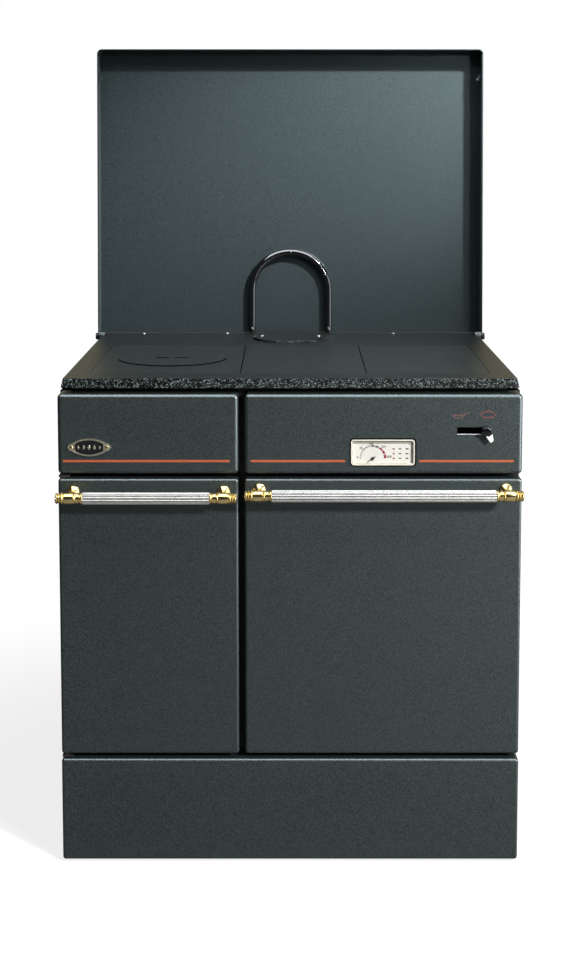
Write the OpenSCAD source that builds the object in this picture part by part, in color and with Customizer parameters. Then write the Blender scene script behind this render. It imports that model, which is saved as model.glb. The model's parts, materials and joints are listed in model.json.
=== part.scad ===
// Wood cook stove: firebox on the left, oven on the right, full-width drawer below and a lid that
// folds down over the hob. X runs from left to right, Y from front to back and Z up.
// The modules are drawn with Y = 0 at the hob's front top edge, and place() centres the stove.

/* [Overall] */
// Width over the side panels, the doors and the lid
stove_w = 800; // [760:1:880]
// Height of the cooking surface above the floor
hob_h = 859; // [845:1:900]
// Depth of the hob from its front top edge to its rear edge
hob_d = 637; // [625:1:680]
// Thickness of the enamelled body sheets
sheet_t = 2; // [1.5:0.1:2.5]
// Distance from the rear edge of the hob forward to the rear face of the back panel
back_inset = 7; // [4:1:12]
// Width of the folded returns of the side panels
return_w = 22; // [18:1:26]
// Height of the carcass above the floor
base_z = 14; // [12:1:18]

/* [Front faces] */
// Distance of the door faces in front of the hob's front top edge
face_proud = 12; // [8:1:16]
// Width of the left column of the front
left_col_w = 311; // [300:1:330]
// Upright gap between the two columns
col_gap = 10.5; // [6:0.5:14]
// Level gaps between drawer, doors and fascias
seam_h = 8.2; // [8:0.1:10]
// Height of the fascias
fascia_h = 139; // [125:1:145]
// Dark gap between the fascias and the hob rim
rim_gap = 9.7; // [8:0.1:12]
// Depth of the doors from face to back
door_t = 38; // [34:1:42]
// Gap between the doors and the front frame
door_gap = 4; // [3.5:0.1:6]
// Radius of the corners of the front pieces, seen from the front
corner_r = 5; // [4:0.5:6]
// Radius of the rounded front edges
edge_r = 5; // [4:0.5:6]
// Thickness of the black front frame
frame_t = 3; // [2:0.5:4]

/* [Drawer] */
// Height of the lower edge of the drawer front
drawer_z = 5; // [3:1:8]
// Height of the drawer front
drawer_h = 183; // [178:1:190]
// Distance of the drawer front in front of the door faces
drawer_proud = 3; // [1:0.5:5]
// Distance from the stove's side to the flanges that slide on the runners
flange_gap = 12; // [11:0.5:15]
// Depth of the drawer tray
tray_d = 540; // [440:1:555]
// Height of the tray's underside above the floor
tray_z = 34; // [32:1:44]
// Height of the tray's walls
tray_h = 130; // [110:1:134]
// Height of the runner ledges above the floor
runner_z = 100; // [80:1:120]
// Width of the flange that slides on each runner
tray_flange_w = 18; // [14:1:60]
// Width of the brackets that join the drawer front to its tray
bracket_w = 20; // [14:1:30]
// Distance from the tray's side to these brackets
bracket_in = 60; // [20:1:120]

/* [Hob] */
// Height of the hob's rim
rim_h = 16.3; // [16:0.1:20]
// Distance from the body's side to the lower edge of the rim
rim_inset = 5; // [5:0.5:7]
// Amount that the rim slopes inward from its lower edge to its top
rim_slope = 4; // [2:0.5:5]
// Distance from the body's side to the recess for the three cooking plates
recess_side = 48; // [47:1:55]
// Distance from the hob's front edge to the recess
recess_y = 59; // [50:1:62]
// Depth of the recess, front to back
recess_d = 364; // [350:1:368]
// Thickness of the cooking plates
plate_t = 8; // [6:0.5:9]
// Width of the ledge that carries the plates
ledge_w = 10; // [8:1:12]
// Width of the left cooking plate
left_plate_w = 264.5; // [250:0.5:270]
// Width of the right cooking plate
right_plate_w = 217.5; // [205:0.5:225]
// Gap around each cooking plate
plate_gap = 0.9; // [0.4:0.1:1]
// Radius of the burner disc
burner_r = 100; // [90:1:105]
// Radial gap around the burner disc
burner_gap = 0.7; // [0.3:0.1:1]
// Length of each lifting slot in the burner disc
lift_slot_len = 27; // [20:1:32]
// Width of each lifting slot in the burner disc
lift_slot_w = 9; // [4:0.5:12]
// Distance between the middles of the two lifting slots
lift_slot_gap = 36; // [34:1:50]
// Radius of the flue cover
flue_cover_r = 76.5; // [74:0.5:80]
// Distance from the hob's front edge to the centre of the flue cover
flue_cover_y = 537; // [530:1:545]
// Thickness of the flue cover
flue_cover_t = 4.5; // [3:0.5:6]

/* [Lid] */
// Thickness of the lid's sheet
lid_t = 1.5; // [1.2:0.1:2]
// Length of the stop tabs under the lid's flanges
tab_len = 21; // [16:1:30]
// Distance from the lid's outer edge to the stop tabs
tab_in = 45; // [30:1:60]
// Length of the lid from its pivot to its outer edge
lid_len = 595.5; // [595:0.5:600]
// Distance from the hob's front edge to the lid's pivot
pivot_y = 589; // [588:0.5:590]
// Height of the pivot below the cooking surface
pivot_drop = 2.5; // [1:0.5:4]
// Distance from the pivot to the inner face of the lid's panel
lid_depth = 40; // [36:1:46]
// Distance from the pivot to the free edge of the flanges
lid_lip = 8; // [8:0.5:9]
// Angle that the open lid leans back
lid_lean = 3.8; // [2:0.1:6]
// Radius of the hinge bolts
hinge_bolt_r = 4; // [3:0.5:4.5]
// Distance between the centre lines of the arch tube's legs
arch_w = 160; // [140:1:180]
// Height of the arch tube's centre line above the pivot
arch_h = 175; // [150:1:200]
// Radius of the arch tube
arch_tube_r = 8; // [6:0.5:9]

/* [Rails] */
// Depth of the bolts in the rails' posts
rail_bolt_len = 15; // [12:1:16]
// Largest radius of the reeded rails
rail_r = 10.5; // [8:0.25:11]
// Number of reeds around a rail
reeds = 12; // [10:1:16]
// Distance of the rail's axis in front of the door faces
rail_standoff = 50; // [42:1:56]
// Length of each brass end fitting
fitting_len = 47; // [44:1:52]
// Distance from the end of a rail to its post
post_inset = 24.5; // [20:0.5:28]
// Distance from the top of the left door to the rail's axis
left_rail_drop = 22.8; // [18:0.1:30]
// Distance from the top of the oven door to the rail's axis
oven_rail_drop = 18.8; // [18:0.1:30]
// Distance from a door's inner edge to the end of its rail
rail_inner_inset = 1; // [0:0.5:4]
// Distance from the left door's outer edge to the end of its rail
left_rail_inset = 2; // [1:0.5:6]
// Distance from the oven door's outer edge to the end of its rail
oven_rail_inset = 4; // [1:0.5:6]

/* [Hinges and catches] */
// Distance from a door's face and edge to its pivot
pivot_in = 8; // [7:0.5:9]
// Radius of the door pivot pins
pin_r = 3; // [2.5:0.25:3.5]
// Distance from the oven door's side edge to its hinge arm
arm_inset = 32; // [26:1:60]
// Width of the upper and lower hinge straps of the left door
strap_w = 19; // [16:1:24]
// Thickness of the oven hinge arms
arm_t = 4; // [3:0.5:6]

/* [Badge] */
// Distance from the left edge of the body to the badge's centre
badge_x = 54.5; // [50:0.5:80]
// Height of the badge's centre above the lower edge of the fascia
badge_up = 47; // [40:0.5:60]
// Length of the badge
badge_w = 77; // [60:0.5:80]
// Height of the badge
badge_h = 30.4; // [24:0.2:34]
// Thickness of the badge
badge_t = 2.4; // [2:0.1:3]

/* [Thermometer] */
// Distance from the left edge of the right fascia to the thermometer
gauge_x = 183.5; // [150:0.5:200]
// Height of the thermometer's lower edge above the lower edge of the fascia
gauge_up = 16; // [14:0.5:40]
// Width of the thermometer's face
gauge_w = 109.3; // [105:0.1:112]
// Height of the thermometer's face
gauge_h = 44.5; // [42:0.1:46]
// Distance from the face's left edge to the needle's pivot
needle_x = 37.5; // [35:0.5:50]
// Height of the needle's pivot above the face's lower edge
needle_up = 11; // [11:0.5:14]
// Distance of the probe's upright leg behind the front frame
probe_in = 70; // [40:1:120]
// Length of the needle
needle_len = 13; // [9:0.5:13.5]
// Angle of the resting needle, up from the right
needle_rest = 215; // [200:1:215]

/* [Damper] */
// Distance from the right edge of the body to the damper knob at rest
damper_in = 63; // [55:0.5:70]
// Height of the damper slot above the lower edge of the fascia
damper_up = 76; // [60:0.5:90]
// Travel of the damper
damper_travel = 45; // [40:1:48]
// Height of the damper slot
slot_h = 12; // [10:0.5:14]
// Radius of the damper rod
rod_r = 4; // [3:0.5:5]

/* [Firebox] */
// Width of the fire between the bricks
fire_w = 155; // [140:1:170]
// Depth of the firebox from the front frame to its rear wall
fire_d = 437; // [400:1:450]
// Thickness of the firebox walls
fire_t = 3; // [2:0.5:4]
// Thickness of the firebricks
brick_t = 28; // [22:1:32]
// Height of the underside of the grate
grate_z = 420; // [400:1:440]
// Thickness of the grate
grate_t = 14; // [10:1:18]
// Height of the sill of the fire opening
fire_sill = 455; // [448:1:470]
// Height of the fire opening
fire_open_h = 195; // [170:1:205]
// Height of the ash compartment's floor above the body's floor
ash_floor_up = 22; // [20:1:30]
// Height of the ash opening
ash_open_h = 100; // [90:1:120]
// Height of the ash pan
ash_pan_h = 82; // [60:1:86]
// Depth of the ash pan
ash_pan_d = 380; // [340:1:395]

/* [Oven] */
// Inner width of the oven
oven_w = 380; // [360:1:390]
// Inner height of the oven
oven_h = 380; // [360:1:385]
// Inner depth of the oven
oven_d = 450; // [420:1:460]
// Height of the flue channel below the oven
under_oven = 53; // [45:1:60]
// Thickness of the oven's walls
oven_t = 2; // [1.5:0.5:3]

/* [Flue] */
// Outer radius of the rear flue collar
flue_r = 60; // [50:1:62]
// Free length of the rear flue collar
collar_len = 50; // [40:1:60]
// Distance from the hob's rim down to the centre of the flue collar
flue_drop = 88; // [80:1:110]
// Half width of the flue box
flue_box_half = 95; // [85:1:100]

/* [Clearances] */
// Radial gap of a pin or shaft in its hole
pin_gap = 0.05; // [0.02:0.01:0.1]
// Gap under a part that slides or rests on a moving seat
seat_gap = 0.3; // [0.2:0.05:0.5]

/* [Hidden] */

$fn = 48;
enamel = [0.22, 0.26, 0.27];
black = [0.07, 0.07, 0.08];
steel = [0.55, 0.56, 0.57];
brass = [0.85, 0.68, 0.30];
nickel = [0.86, 0.85, 0.82];
cream = [0.93, 0.91, 0.83];
iron = [0.17, 0.18, 0.18];
brick = [0.72, 0.62, 0.48];
rope = [0.62, 0.60, 0.55];
cut = 1; // how far a cut runs past a face

// Levels
half_w = stove_w / 2;
inner_w = half_w - sheet_t;
face_y = -face_proud;
door_back = face_y + door_t;
frame_y = door_back + door_gap;
body_y = frame_y + frame_t;
back_y = hob_d - back_inset;
rear_in = back_y - sheet_t;
drawer_top = drawer_z + drawer_h;
door_z = drawer_top + seam_h;
rim_z = hob_h - rim_h;
fascia_top = rim_z - rim_gap;
fascia_z = fascia_top - fascia_h;
door_top = fascia_z - seam_h;
floor_z = drawer_top + sheet_t;

// Columns
left_x0 = -half_w;
left_x1 = left_x0 + left_col_w;
right_x0 = left_x1 + col_gap;
right_x1 = half_w;
left_cx = (left_x0 + left_x1) / 2;
right_cx = (right_x0 + right_x1) / 2;

// Rails
rail_y = face_y - rail_standoff;
left_rail_z = door_top - left_rail_drop;
oven_rail_z = door_top - oven_rail_drop;
ring_r = rail_r + 0.3; // largest ring of a fitting
spigot_r = rail_r - 4.2; // spigot of a fitting inside the rail
spigot_len = 12;
reed_r = rail_r * sin(180 / reeds) / (1 + sin(180 / reeds)) + 0.1;
post_r = 5.5;
rosette_r = 11;
rail_bolt_r = 2.5;

// The stove is centred between the rails' front and the flue collar's rear end
collar_end = back_y + collar_len;
y_mid = (rail_y - ring_r + collar_end) / 2;

// Lid
pivot_z = hob_h - pivot_drop;
lid_in_w = half_w - lid_t;
lid_foot = (pivot_drop + (lid_depth + 2 * lid_t) * sin(lid_lean) + seat_gap) / cos(lid_lean);
lug_x = lid_in_w - seat_gap; // outer face of the hinge lugs
lug_r = 9.5;
arch_plate_w = arch_w + 12;
stud_r = 3;
stud_up = 14; // height of the lower studs above the pivot

// Hob
recess_x0 = recess_side - half_w;
recess_x1 = half_w - recess_side;
centre_x0 = recess_x0 + left_plate_w;
centre_x1 = recess_x1 - right_plate_w;
ledge_z = hob_h - plate_t;
burner = [(recess_x0 + centre_x0) / 2, recess_y + recess_d / 2];
burner_lip = 8;
burner_step = plate_t * 0.6;
hob_screw_y = hob_d - 23;
hob_screw_x = [-307, -132, 45, 216];
screw_r = 2.5;
cover_screw_x = 58;
flue_hole_r = flue_cover_r - 26;

// Firebox and oven
fire_x0 = left_cx - fire_w / 2 - brick_t - fire_t;
fire_x1 = left_cx + fire_w / 2 + brick_t + fire_t;
fire_y1 = body_y + fire_d;
gas_way = 52; // opening over the firebox's right wall
ash_z = floor_z + ash_floor_up; // floor that the ash pan stands on
oven_x0 = right_cx - oven_w / 2;
oven_x1 = right_cx + oven_w / 2;
oven_z = floor_z + under_oven + oven_t;
oven_top = oven_z + oven_h;
oven_y1 = body_y + oven_d;
rack_z = oven_z + oven_h * 0.25;
rib_w = 10;

// Thermometer and damper
gauge_x0 = right_x0 + gauge_x;
gauge_z0 = fascia_z + gauge_up;
needle = [gauge_x0 + needle_x, gauge_z0 + needle_up];
bezel_lip = 2.5; // bezel in front of the fascia
bezel_wall = 3;
dial_y = face_y + 4;
dial_t = 1;
bezel_back = dial_y + dial_t + 2;
spindle_r = 1.2;
probe_r = 3;
housing_r = 13;
housing_t = 9;
probe_y = body_y + probe_in;
probe_dip = 25; // length of the probe inside the oven
damper_x = right_x1 - damper_in;
damper_z = fascia_z + damper_up;
link_y = body_y + 12;
slide_z = oven_top + oven_t + seat_gap;

place_y = -y_mid;

module place() translate([0, place_y, 0]) children();

// Box between two corners
module block(a, b) translate(a) cube(b - a);

// Draws a front-view outline (X, Z) as a plate from y0 to y1
module front_plate(y0, y1)
    translate([0, y1, 0]) rotate([90, 0, 0]) linear_extrude(y1 - y0) children();

// Round rod or hole along X, Y or Z
module rod_x(x0, x1, y, z, r) translate([x0, y, z]) rotate([0, 90, 0]) cylinder(x1 - x0, r, r);
module rod_y(y0, y1, x, z, r) translate([x, y0, z]) rotate([-90, 0, 0]) cylinder(y1 - y0, r, r);
module rod_z(z0, z1, x, y, r) translate([x, y, z0]) cylinder(z1 - z0, r, r);

// Rectangle with round corners between two corners
module round_rect(a, b, r) {
    translate([a.x + r, a.y]) square([b.x - a.x - 2 * r, b.y - a.y]);
    translate([a.x, a.y + r]) square([b.x - a.x, b.y - a.y - 2 * r]);
    for (x = [a.x + r, b.x - r], y = [a.y + r, b.y - r]) translate([x, y]) circle(r);
}

// Solid block whose front edges and front-view corners are rounded
module pillow(x0, x1, z0, z1, y0, y1) intersection() {
    front_plate(y0, y1) round_rect([x0, z0], [x1, z1], corner_r);
    translate([0, 0, z0]) linear_extrude(z1 - z0) intersection() {
        round_rect([x0, y0], [x1, y1 + 2 * edge_r], edge_r);
        translate([x0, y0]) square([x1 - x0, y1 - y0]);
    }
    translate([x0, 0, 0]) rotate([90, 0, 90]) linear_extrude(x1 - x0) intersection() {
        round_rect([y0, z0], [y1 + 2 * edge_r, z1], edge_r);
        translate([y0, z0]) square([y1 - y0, z1 - z0]);
    }
}

// Pressed sheet front, open at the back
module front_pan(x0, x1, z0, z1, y0, y1) difference() {
    pillow(x0, x1, z0, z1, y0, y1);
    block([x0 + sheet_t, y0 + sheet_t, z0 + sheet_t], [x1 - sheet_t, y1 + cut, z1 - sheet_t]);
}

// Rectangular ring in the front view
module ring_plate(x0, x1, z0, z1, w, y0, y1) difference() {
    block([x0, y0, z0], [x1, y1, z1]);
    block([x0 + w, y0 - cut, z0 + w], [x1 - w, y1 + cut, z1 - w]);
}

// CARCASS

foot_in = 45; // distance of the feet from the sides of the carcass
foot_spots = [for (x = [foot_in - half_w, half_w - foot_in], y = [body_y + foot_in, rear_in - foot_in])
    [x, y]];
foot_r = 22;
foot_t = 8;
stem_r = 5;

module base_frame() place() color(black) difference() {
    union() {
        block([-inner_w, body_y + sheet_t, base_z],
              [inner_w, rear_in - sheet_t, base_z + sheet_t]);
        for (p = foot_spots) rod_z(base_z - 4, base_z + 1, p.x, p.y, stem_r + 6);
    }
    for (p = foot_spots)
        rod_z(base_z - 4 - cut, base_z + sheet_t + cut, p.x, p.y, stem_r + pin_gap);
}

module levelling_feet() place() color(steel) for (p = foot_spots) {
    rod_z(0, foot_t, p.x, p.y, foot_r);
    rod_z(foot_t - cut, base_z + sheet_t + 10, p.x, p.y, stem_r);
}

// Side panel on the right: outer sheet, front and rear returns, and the raised edge under the hob
module side_panel() {
    return_x = half_w - return_w;
    block([inner_w, frame_y, base_z], [half_w, rear_in, fascia_top]);
    block([return_x, body_y, floor_z], [half_w, body_y + sheet_t, fascia_top]);
    block([return_x, rear_in - sheet_t, base_z], [half_w, rear_in, fascia_top]);
    block([return_x, body_y, fascia_top - sheet_t], [half_w, rear_in, fascia_top]);
    block([return_x, body_y, fascia_top - sheet_t], [return_x + sheet_t, rear_in, rim_z]);
}

module left_side_panel() place() color(enamel) mirror([1, 0, 0]) side_panel();

module right_side_panel() place() color(enamel) side_panel();

module back_panel() place() color(black) difference() {
    union() {
        block([-half_w, rear_in, base_z], [half_w, back_y, fascia_top]);
        block([-half_w + return_w, rear_in, fascia_top - cut],
              [half_w - return_w, back_y, rim_z]);
    }
    rod_y(rear_in - cut, back_y + cut, 0, rim_z - flue_drop, flue_r + seat_gap);
}

tray_half = half_w - flange_gap - tray_flange_w;
drawer_open = half_w - flange_gap + 2; // half width of the drawer's opening

module front_frame() place() color(black) difference() {
    union() {
        block([-inner_w, frame_y, base_z], [inner_w, body_y, fascia_top]);
        block([-half_w + return_w, frame_y, fascia_top - cut],
              [half_w - return_w, body_y, rim_z]);
    }
    block([-drawer_open, frame_y - cut, tray_z - 8],
          [drawer_open, body_y + cut, tray_z + tray_h + 12]);
    block([left_cx - fire_w / 2, frame_y - cut, fire_sill],
          [left_cx + fire_w / 2, body_y + cut, fire_sill + fire_open_h]);
    block([left_cx - fire_w / 2, frame_y - cut, ash_z - 1],
          [left_cx + fire_w / 2, body_y + cut, ash_z + ash_open_h]);
    block([oven_x0, frame_y - cut, oven_z], [oven_x1, body_y + cut, oven_top]);
    rod_y(frame_y - cut, body_y + cut, needle.x, needle.y, probe_r + pin_gap);
    front_plate(frame_y - cut, body_y + cut)
        round_rect([damper_x - damper_travel - rod_r - 1, damper_z - rod_r - 1],
                   [damper_x + rod_r + 1, damper_z + rod_r + 1], rod_r);
}

module floor_plate() place() color(black)
    block([-inner_w, body_y + sheet_t, drawer_top],
          [inner_w, rear_in - sheet_t, floor_z]);

module drawer_runner() {
    ledge_x = tray_half + 3;
    runner_y0 = body_y + sheet_t + 1;
    runner_y1 = door_back + tray_d;
    block([ledge_x, runner_y0, runner_z - sheet_t], [inner_w, runner_y1, runner_z]);
    block([inner_w - sheet_t, runner_y0, runner_z - bracket_w], [inner_w, runner_y1, runner_z]);
}

module drawer_runners() place() color(steel) {
    drawer_runner();
    mirror([1, 0, 0]) drawer_runner();
}

// FASCIAS, BADGE, THERMOMETER AND DAMPER

badge_c = [left_x0 + badge_x, fascia_z + badge_up];
badge_screw_x = badge_w / 2 - 8.1;
badge_screw_r = 1.4;

module left_fascia() place() color(enamel) difference() {
    front_pan(left_x0, left_x1, fascia_z, fascia_top, face_y, frame_y);
    for (s = [-1, 1])
        rod_y(face_y - cut, face_y + sheet_t + cut, badge_c.x + s * badge_screw_x, badge_c.y,
              badge_screw_r + pin_gap);
}

module right_fascia() place() color(enamel) difference() {
    front_pan(right_x0, right_x1, fascia_z, fascia_top, face_y, frame_y);
    front_plate(face_y - cut, face_y + sheet_t + cut)
        round_rect([gauge_x0 - 1, gauge_z0 - 1],
                   [gauge_x0 + gauge_w + 1, gauge_z0 + gauge_h + 1], corner_r);
    front_plate(face_y - cut, face_y + sheet_t + cut)
        round_rect([damper_x - damper_travel - rod_r - 1, damper_z - slot_h / 2],
                   [damper_x + rod_r + 1, damper_z + slot_h / 2], 2);
}

// Pointed oval of length w and height h
module lens(w, h) {
    r = (w * w + h * h) / (4 * h);
    intersection() {
        translate([0, h / 2 - r]) circle(r, $fn = 96);
        translate([0, r - h / 2]) circle(r, $fn = 96);
    }
}

module badge_plate() place() color(nickel) difference() {
    front_plate(face_y - badge_t, face_y) translate(badge_c) {
        lens(badge_w, badge_h);
        for (s = [-1, 1]) translate([s * badge_screw_x, 0]) circle(badge_h * 0.21);
    }
    front_plate(face_y - badge_t - cut, face_y - badge_t + 0.8) translate(badge_c)
        intersection() {
            lens(badge_w - 11, badge_h - 5);
            square([badge_w * 0.64, badge_h], center = true);
        }
    for (s = [-1, 1])
        rod_y(face_y - badge_t - cut, face_y + cut, badge_c.x + s * badge_screw_x, badge_c.y,
              badge_screw_r + pin_gap);
}

module badge_screws() place() color(brass) for (s = [-1, 1])
    translate([badge_c.x + s * badge_screw_x, face_y - badge_t, badge_c.y]) rotate([-90, 0, 0]) {
        cylinder(badge_t + 6, badge_screw_r, badge_screw_r);
        intersection() {
            translate([0, 0, 3.2]) sphere(4.7);
            translate([0, 0, -3]) cylinder(3, 3.4, 3.4);
        }
    }

module gauge_rect(grow)
    round_rect([gauge_x0 - grow, gauge_z0 - grow],
               [gauge_x0 + gauge_w + grow, gauge_z0 + gauge_h + grow], corner_r + grow);

module thermometer_bezel() place() color(cream) difference() {
    union() {
        front_plate(face_y - bezel_lip, bezel_back) gauge_rect(0);
        front_plate(face_y + sheet_t, face_y + sheet_t + 1.5) gauge_rect(4);
    }
    front_plate(face_y - bezel_lip - cut, face_y - 0.5) gauge_rect(-bezel_wall + 1);
    front_plate(face_y - bezel_lip - cut, dial_y + dial_t) gauge_rect(-bezel_wall);
    rod_y(dial_y, bezel_back + cut, needle.x, needle.y, spindle_r + pin_gap);
}

module thermometer_dial() place() color(cream) difference() {
    front_plate(dial_y, dial_y + dial_t) gauge_rect(-bezel_wall);
    rod_y(dial_y - cut, dial_y + dial_t + cut, needle.x, needle.y, spindle_r + pin_gap);
}

module thermometer_glass() place() color([0.8, 0.85, 0.85, 0.3])
    front_plate(face_y - 1.5, face_y - 0.5) gauge_rect(-bezel_wall + 1);

module thermometer_probe() place() color(steel) difference() {
    union() {
        rod_y(bezel_back, bezel_back + housing_t, needle.x, needle.y, housing_r);
        rod_y(bezel_back + housing_t - cut, probe_y, needle.x, needle.y, probe_r);
        translate([needle.x, probe_y, needle.y]) sphere(probe_r);
        rod_z(oven_top - probe_dip, needle.y, needle.x, probe_y, probe_r);
    }
    rod_y(bezel_back - cut, bezel_back + housing_t - 2, needle.x, needle.y,
          spindle_r + pin_gap);
}

module thermometer_needle() place() color(black) {
    rod_y(dial_y - 2.2, bezel_back + 6, needle.x, needle.y, spindle_r);
    rod_y(dial_y - 2.2, dial_y - seat_gap, needle.x, needle.y, 2.5);
    front_plate(dial_y - 1.6, dial_y - 0.9) translate(needle) rotate(needle_rest)
        polygon([[-5, -1], [-5, 1], [0, 1.1], [needle_len, 0.25], [needle_len, -0.25], [0, -1.1]]);
}

// Knob outline: 4 mm wider than high
module knob_outline() {
    for (s = [-2, 2]) translate([damper_x + s, damper_z]) circle(2 * rod_r);
    translate([damper_x - 2, damper_z - 2 * rod_r]) square([4, 4 * rod_r]);
}

knob_y0 = face_y - 14;

module damper_lever() place() color(black) {
    front_plate(knob_y0, face_y - seat_gap) knob_outline();
    rod_y(face_y - cut, link_y, damper_x, damper_z, rod_r);
}

module damper_tip() place() color(cream) difference() {
    front_plate(knob_y0 + 2, face_y - 3) translate([damper_x, damper_z])
        polygon([[-3, -6], [9.5, -5], [11.5, -15], [7, -19.5]]);
    front_plate(knob_y0, face_y) knob_outline();
}

// Sheet-metal link hanging from the rod, and the slide that covers the channel beside the oven
module damper_plate() place() color(steel) {
    slide_x0 = oven_x1 + oven_t + 0.6;
    slide_x1 = inner_w - 0.6;
    link_x1 = (slide_x0 + slide_x1) / 2;
    block([damper_x - 6, link_y, slide_z], [link_x1, link_y + sheet_t, damper_z + rod_r + 4]);
    block([slide_x0, link_y, slide_z], [slide_x1, oven_y1 - 20, slide_z + sheet_t]);
}

// HOB

// Solid with the sloped rim on its front and sides
module hob_blank() intersection() {
    bottom_x = half_w - rim_inset;
    top_x = bottom_x - rim_slope;
    front_plate(-rim_slope, hob_d)
        polygon([[-bottom_x, rim_z], [bottom_x, rim_z], [top_x, hob_h], [-top_x, hob_h]]);
    translate([-bottom_x, 0, 0]) rotate([90, 0, 90]) linear_extrude(2 * bottom_x)
        polygon([[-rim_slope, rim_z], [hob_d, rim_z], [hob_d, hob_h], [0, hob_h]]);
    translate([0, 0, rim_z]) linear_extrude(rim_h)
        round_rect([-bottom_x, -rim_slope], [bottom_x, hob_d], 6);
}

// Lug that carries the lid's hinge bolt
module hinge_lug() {
    lug_in = lug_x - 13;
    rod_x(lug_in, lug_x, pivot_y, pivot_z, lug_r);
    block([lug_in, pivot_y - lug_r, rim_z + 2], [lug_x, pivot_y + lug_r, pivot_z]);
}

module hob_frame() place() color(iron) difference() {
    union() {
        hob_blank();
        hinge_lug();
        mirror([1, 0, 0]) hinge_lug();
    }
    block([recess_x0, recess_y, ledge_z], [recess_x1, recess_y + recess_d, hob_h + cut]);
    block([recess_x0 + ledge_w, recess_y + ledge_w, rim_z - cut],
          [recess_x1 - ledge_w, recess_y + recess_d - ledge_w, hob_h]);
    rod_z(rim_z - cut, hob_h + cut, 0, flue_cover_y, flue_hole_r);
    for (s = [-1, 1]) {
        rod_z(rim_z - cut, hob_h + cut, s * cover_screw_x, flue_cover_y, screw_r + pin_gap);
        rod_x(s * (lug_x - 6.5) - 8, s * (lug_x - 6.5) + 8, pivot_y, pivot_z,
              hinge_bolt_r + pin_gap);
    }
    for (x = hob_screw_x) rod_z(rim_z - cut, hob_h + cut, x, hob_screw_y, screw_r + pin_gap);
    for (s = [-1, 1]) {
        xs = [s * (flue_box_half + 10), s * (half_w - return_w - 14)];
        block([min(xs), recess_y + recess_d + 15, rim_z - cut],
              [max(xs), hob_screw_y - 12, rim_z + 8]);
    }
}

// Round-headed screw standing on the surface at z, with its shank below
module surface_screw(x, y, z, depth, head_r) {
    rod_z(z - depth, z + 0.5, x, y, screw_r);
    translate([x, y, z]) intersection() {
        translate([0, 0, 2.2 - head_r * 1.25]) sphere(head_r * 1.25);
        cylinder(2.2, head_r, head_r);
    }
}

module hob_screws() place() color(steel)
    for (x = hob_screw_x) surface_screw(x, hob_screw_y, hob_h, rim_h - 2, 4.2);

module flue_cover() place() color(iron) difference() {
    rod_z(hob_h, hob_h + flue_cover_t, 0, flue_cover_y, flue_cover_r);
    for (s = [-1, 1])
        rod_z(hob_h - cut, hob_h + flue_cover_t + cut, s * cover_screw_x, flue_cover_y,
              screw_r + pin_gap);
}

module flue_cover_screws() place() color(steel) for (s = [-1, 1])
    surface_screw(s * cover_screw_x, flue_cover_y, hob_h + flue_cover_t, rim_h, 4.2);

// Cooking plate that lies on the ledge between x0 and x1
module hob_plate(x0, x1)
    block([x0 + plate_gap, recess_y + plate_gap, ledge_z],
          [x1 - plate_gap, recess_y + recess_d - plate_gap, hob_h]);

module left_hob_plate() place() color(iron) difference() {
    hob_plate(recess_x0, centre_x0);
    rod_z(ledge_z - cut, hob_h + cut, burner.x, burner.y, burner_r - burner_lip);
    rod_z(hob_h - burner_step, hob_h + cut, burner.x, burner.y, burner_r + burner_gap);
}

module burner_disc() place() color(iron) difference() {
    union() {
        rod_z(hob_h - burner_step, hob_h, burner.x, burner.y, burner_r);
        rod_z(ledge_z, hob_h - burner_step + 0.1, burner.x, burner.y,
              burner_r - burner_lip - burner_gap);
    }
    half = [lift_slot_len, lift_slot_w] / 2;
    for (s = [-1, 1]) translate([burner.x + s * lift_slot_gap / 2, burner.y, ledge_z - cut])
        linear_extrude(plate_t + 2 * cut) round_rect(-half, half, lift_slot_w / 2 - 0.1);
}

module centre_hob_plate() place() color(iron) hob_plate(centre_x0, centre_x1);

module right_hob_plate() place() color(iron) hob_plate(centre_x1, recess_x1);

// FIREBOX AND OVEN

module firebox_shell() place() color(iron) {
    block([fire_x0, body_y, floor_z], [fire_x0 + fire_t, fire_y1, rim_z]);
    block([fire_x0, body_y, ash_z - fire_t], [fire_x1, fire_y1, ash_z]);
    block([fire_x1 - fire_t, body_y, floor_z], [fire_x1, fire_y1, rim_z - gas_way]);
    block([fire_x0, fire_y1 - fire_t, floor_z], [fire_x1, fire_y1, rim_z - gas_way]);
    for (x = [fire_x0, fire_x1 - brick_t - fire_t - 10])
        block([x, body_y, grate_z - 4], [x + brick_t + fire_t + 10, fire_y1, grate_z]);
    block([fire_x0, fire_y1 - brick_t - fire_t - 10, grate_z - 4], [fire_x1, fire_y1, grate_z]);
}

module firebricks() place() color(brick) {
    brick_top = rim_z - gas_way - 4;
    in_x0 = fire_x0 + fire_t;
    in_x1 = fire_x1 - fire_t;
    in_y1 = fire_y1 - fire_t;
    for (x = [in_x0, in_x1 - brick_t])
        block([x, body_y, grate_z], [x + brick_t, in_y1, brick_top]);
    block([in_x0 + brick_t + 0.5, in_y1 - brick_t, grate_z],
          [in_x1 - brick_t - 0.5, in_y1, brick_top]);
}

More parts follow.
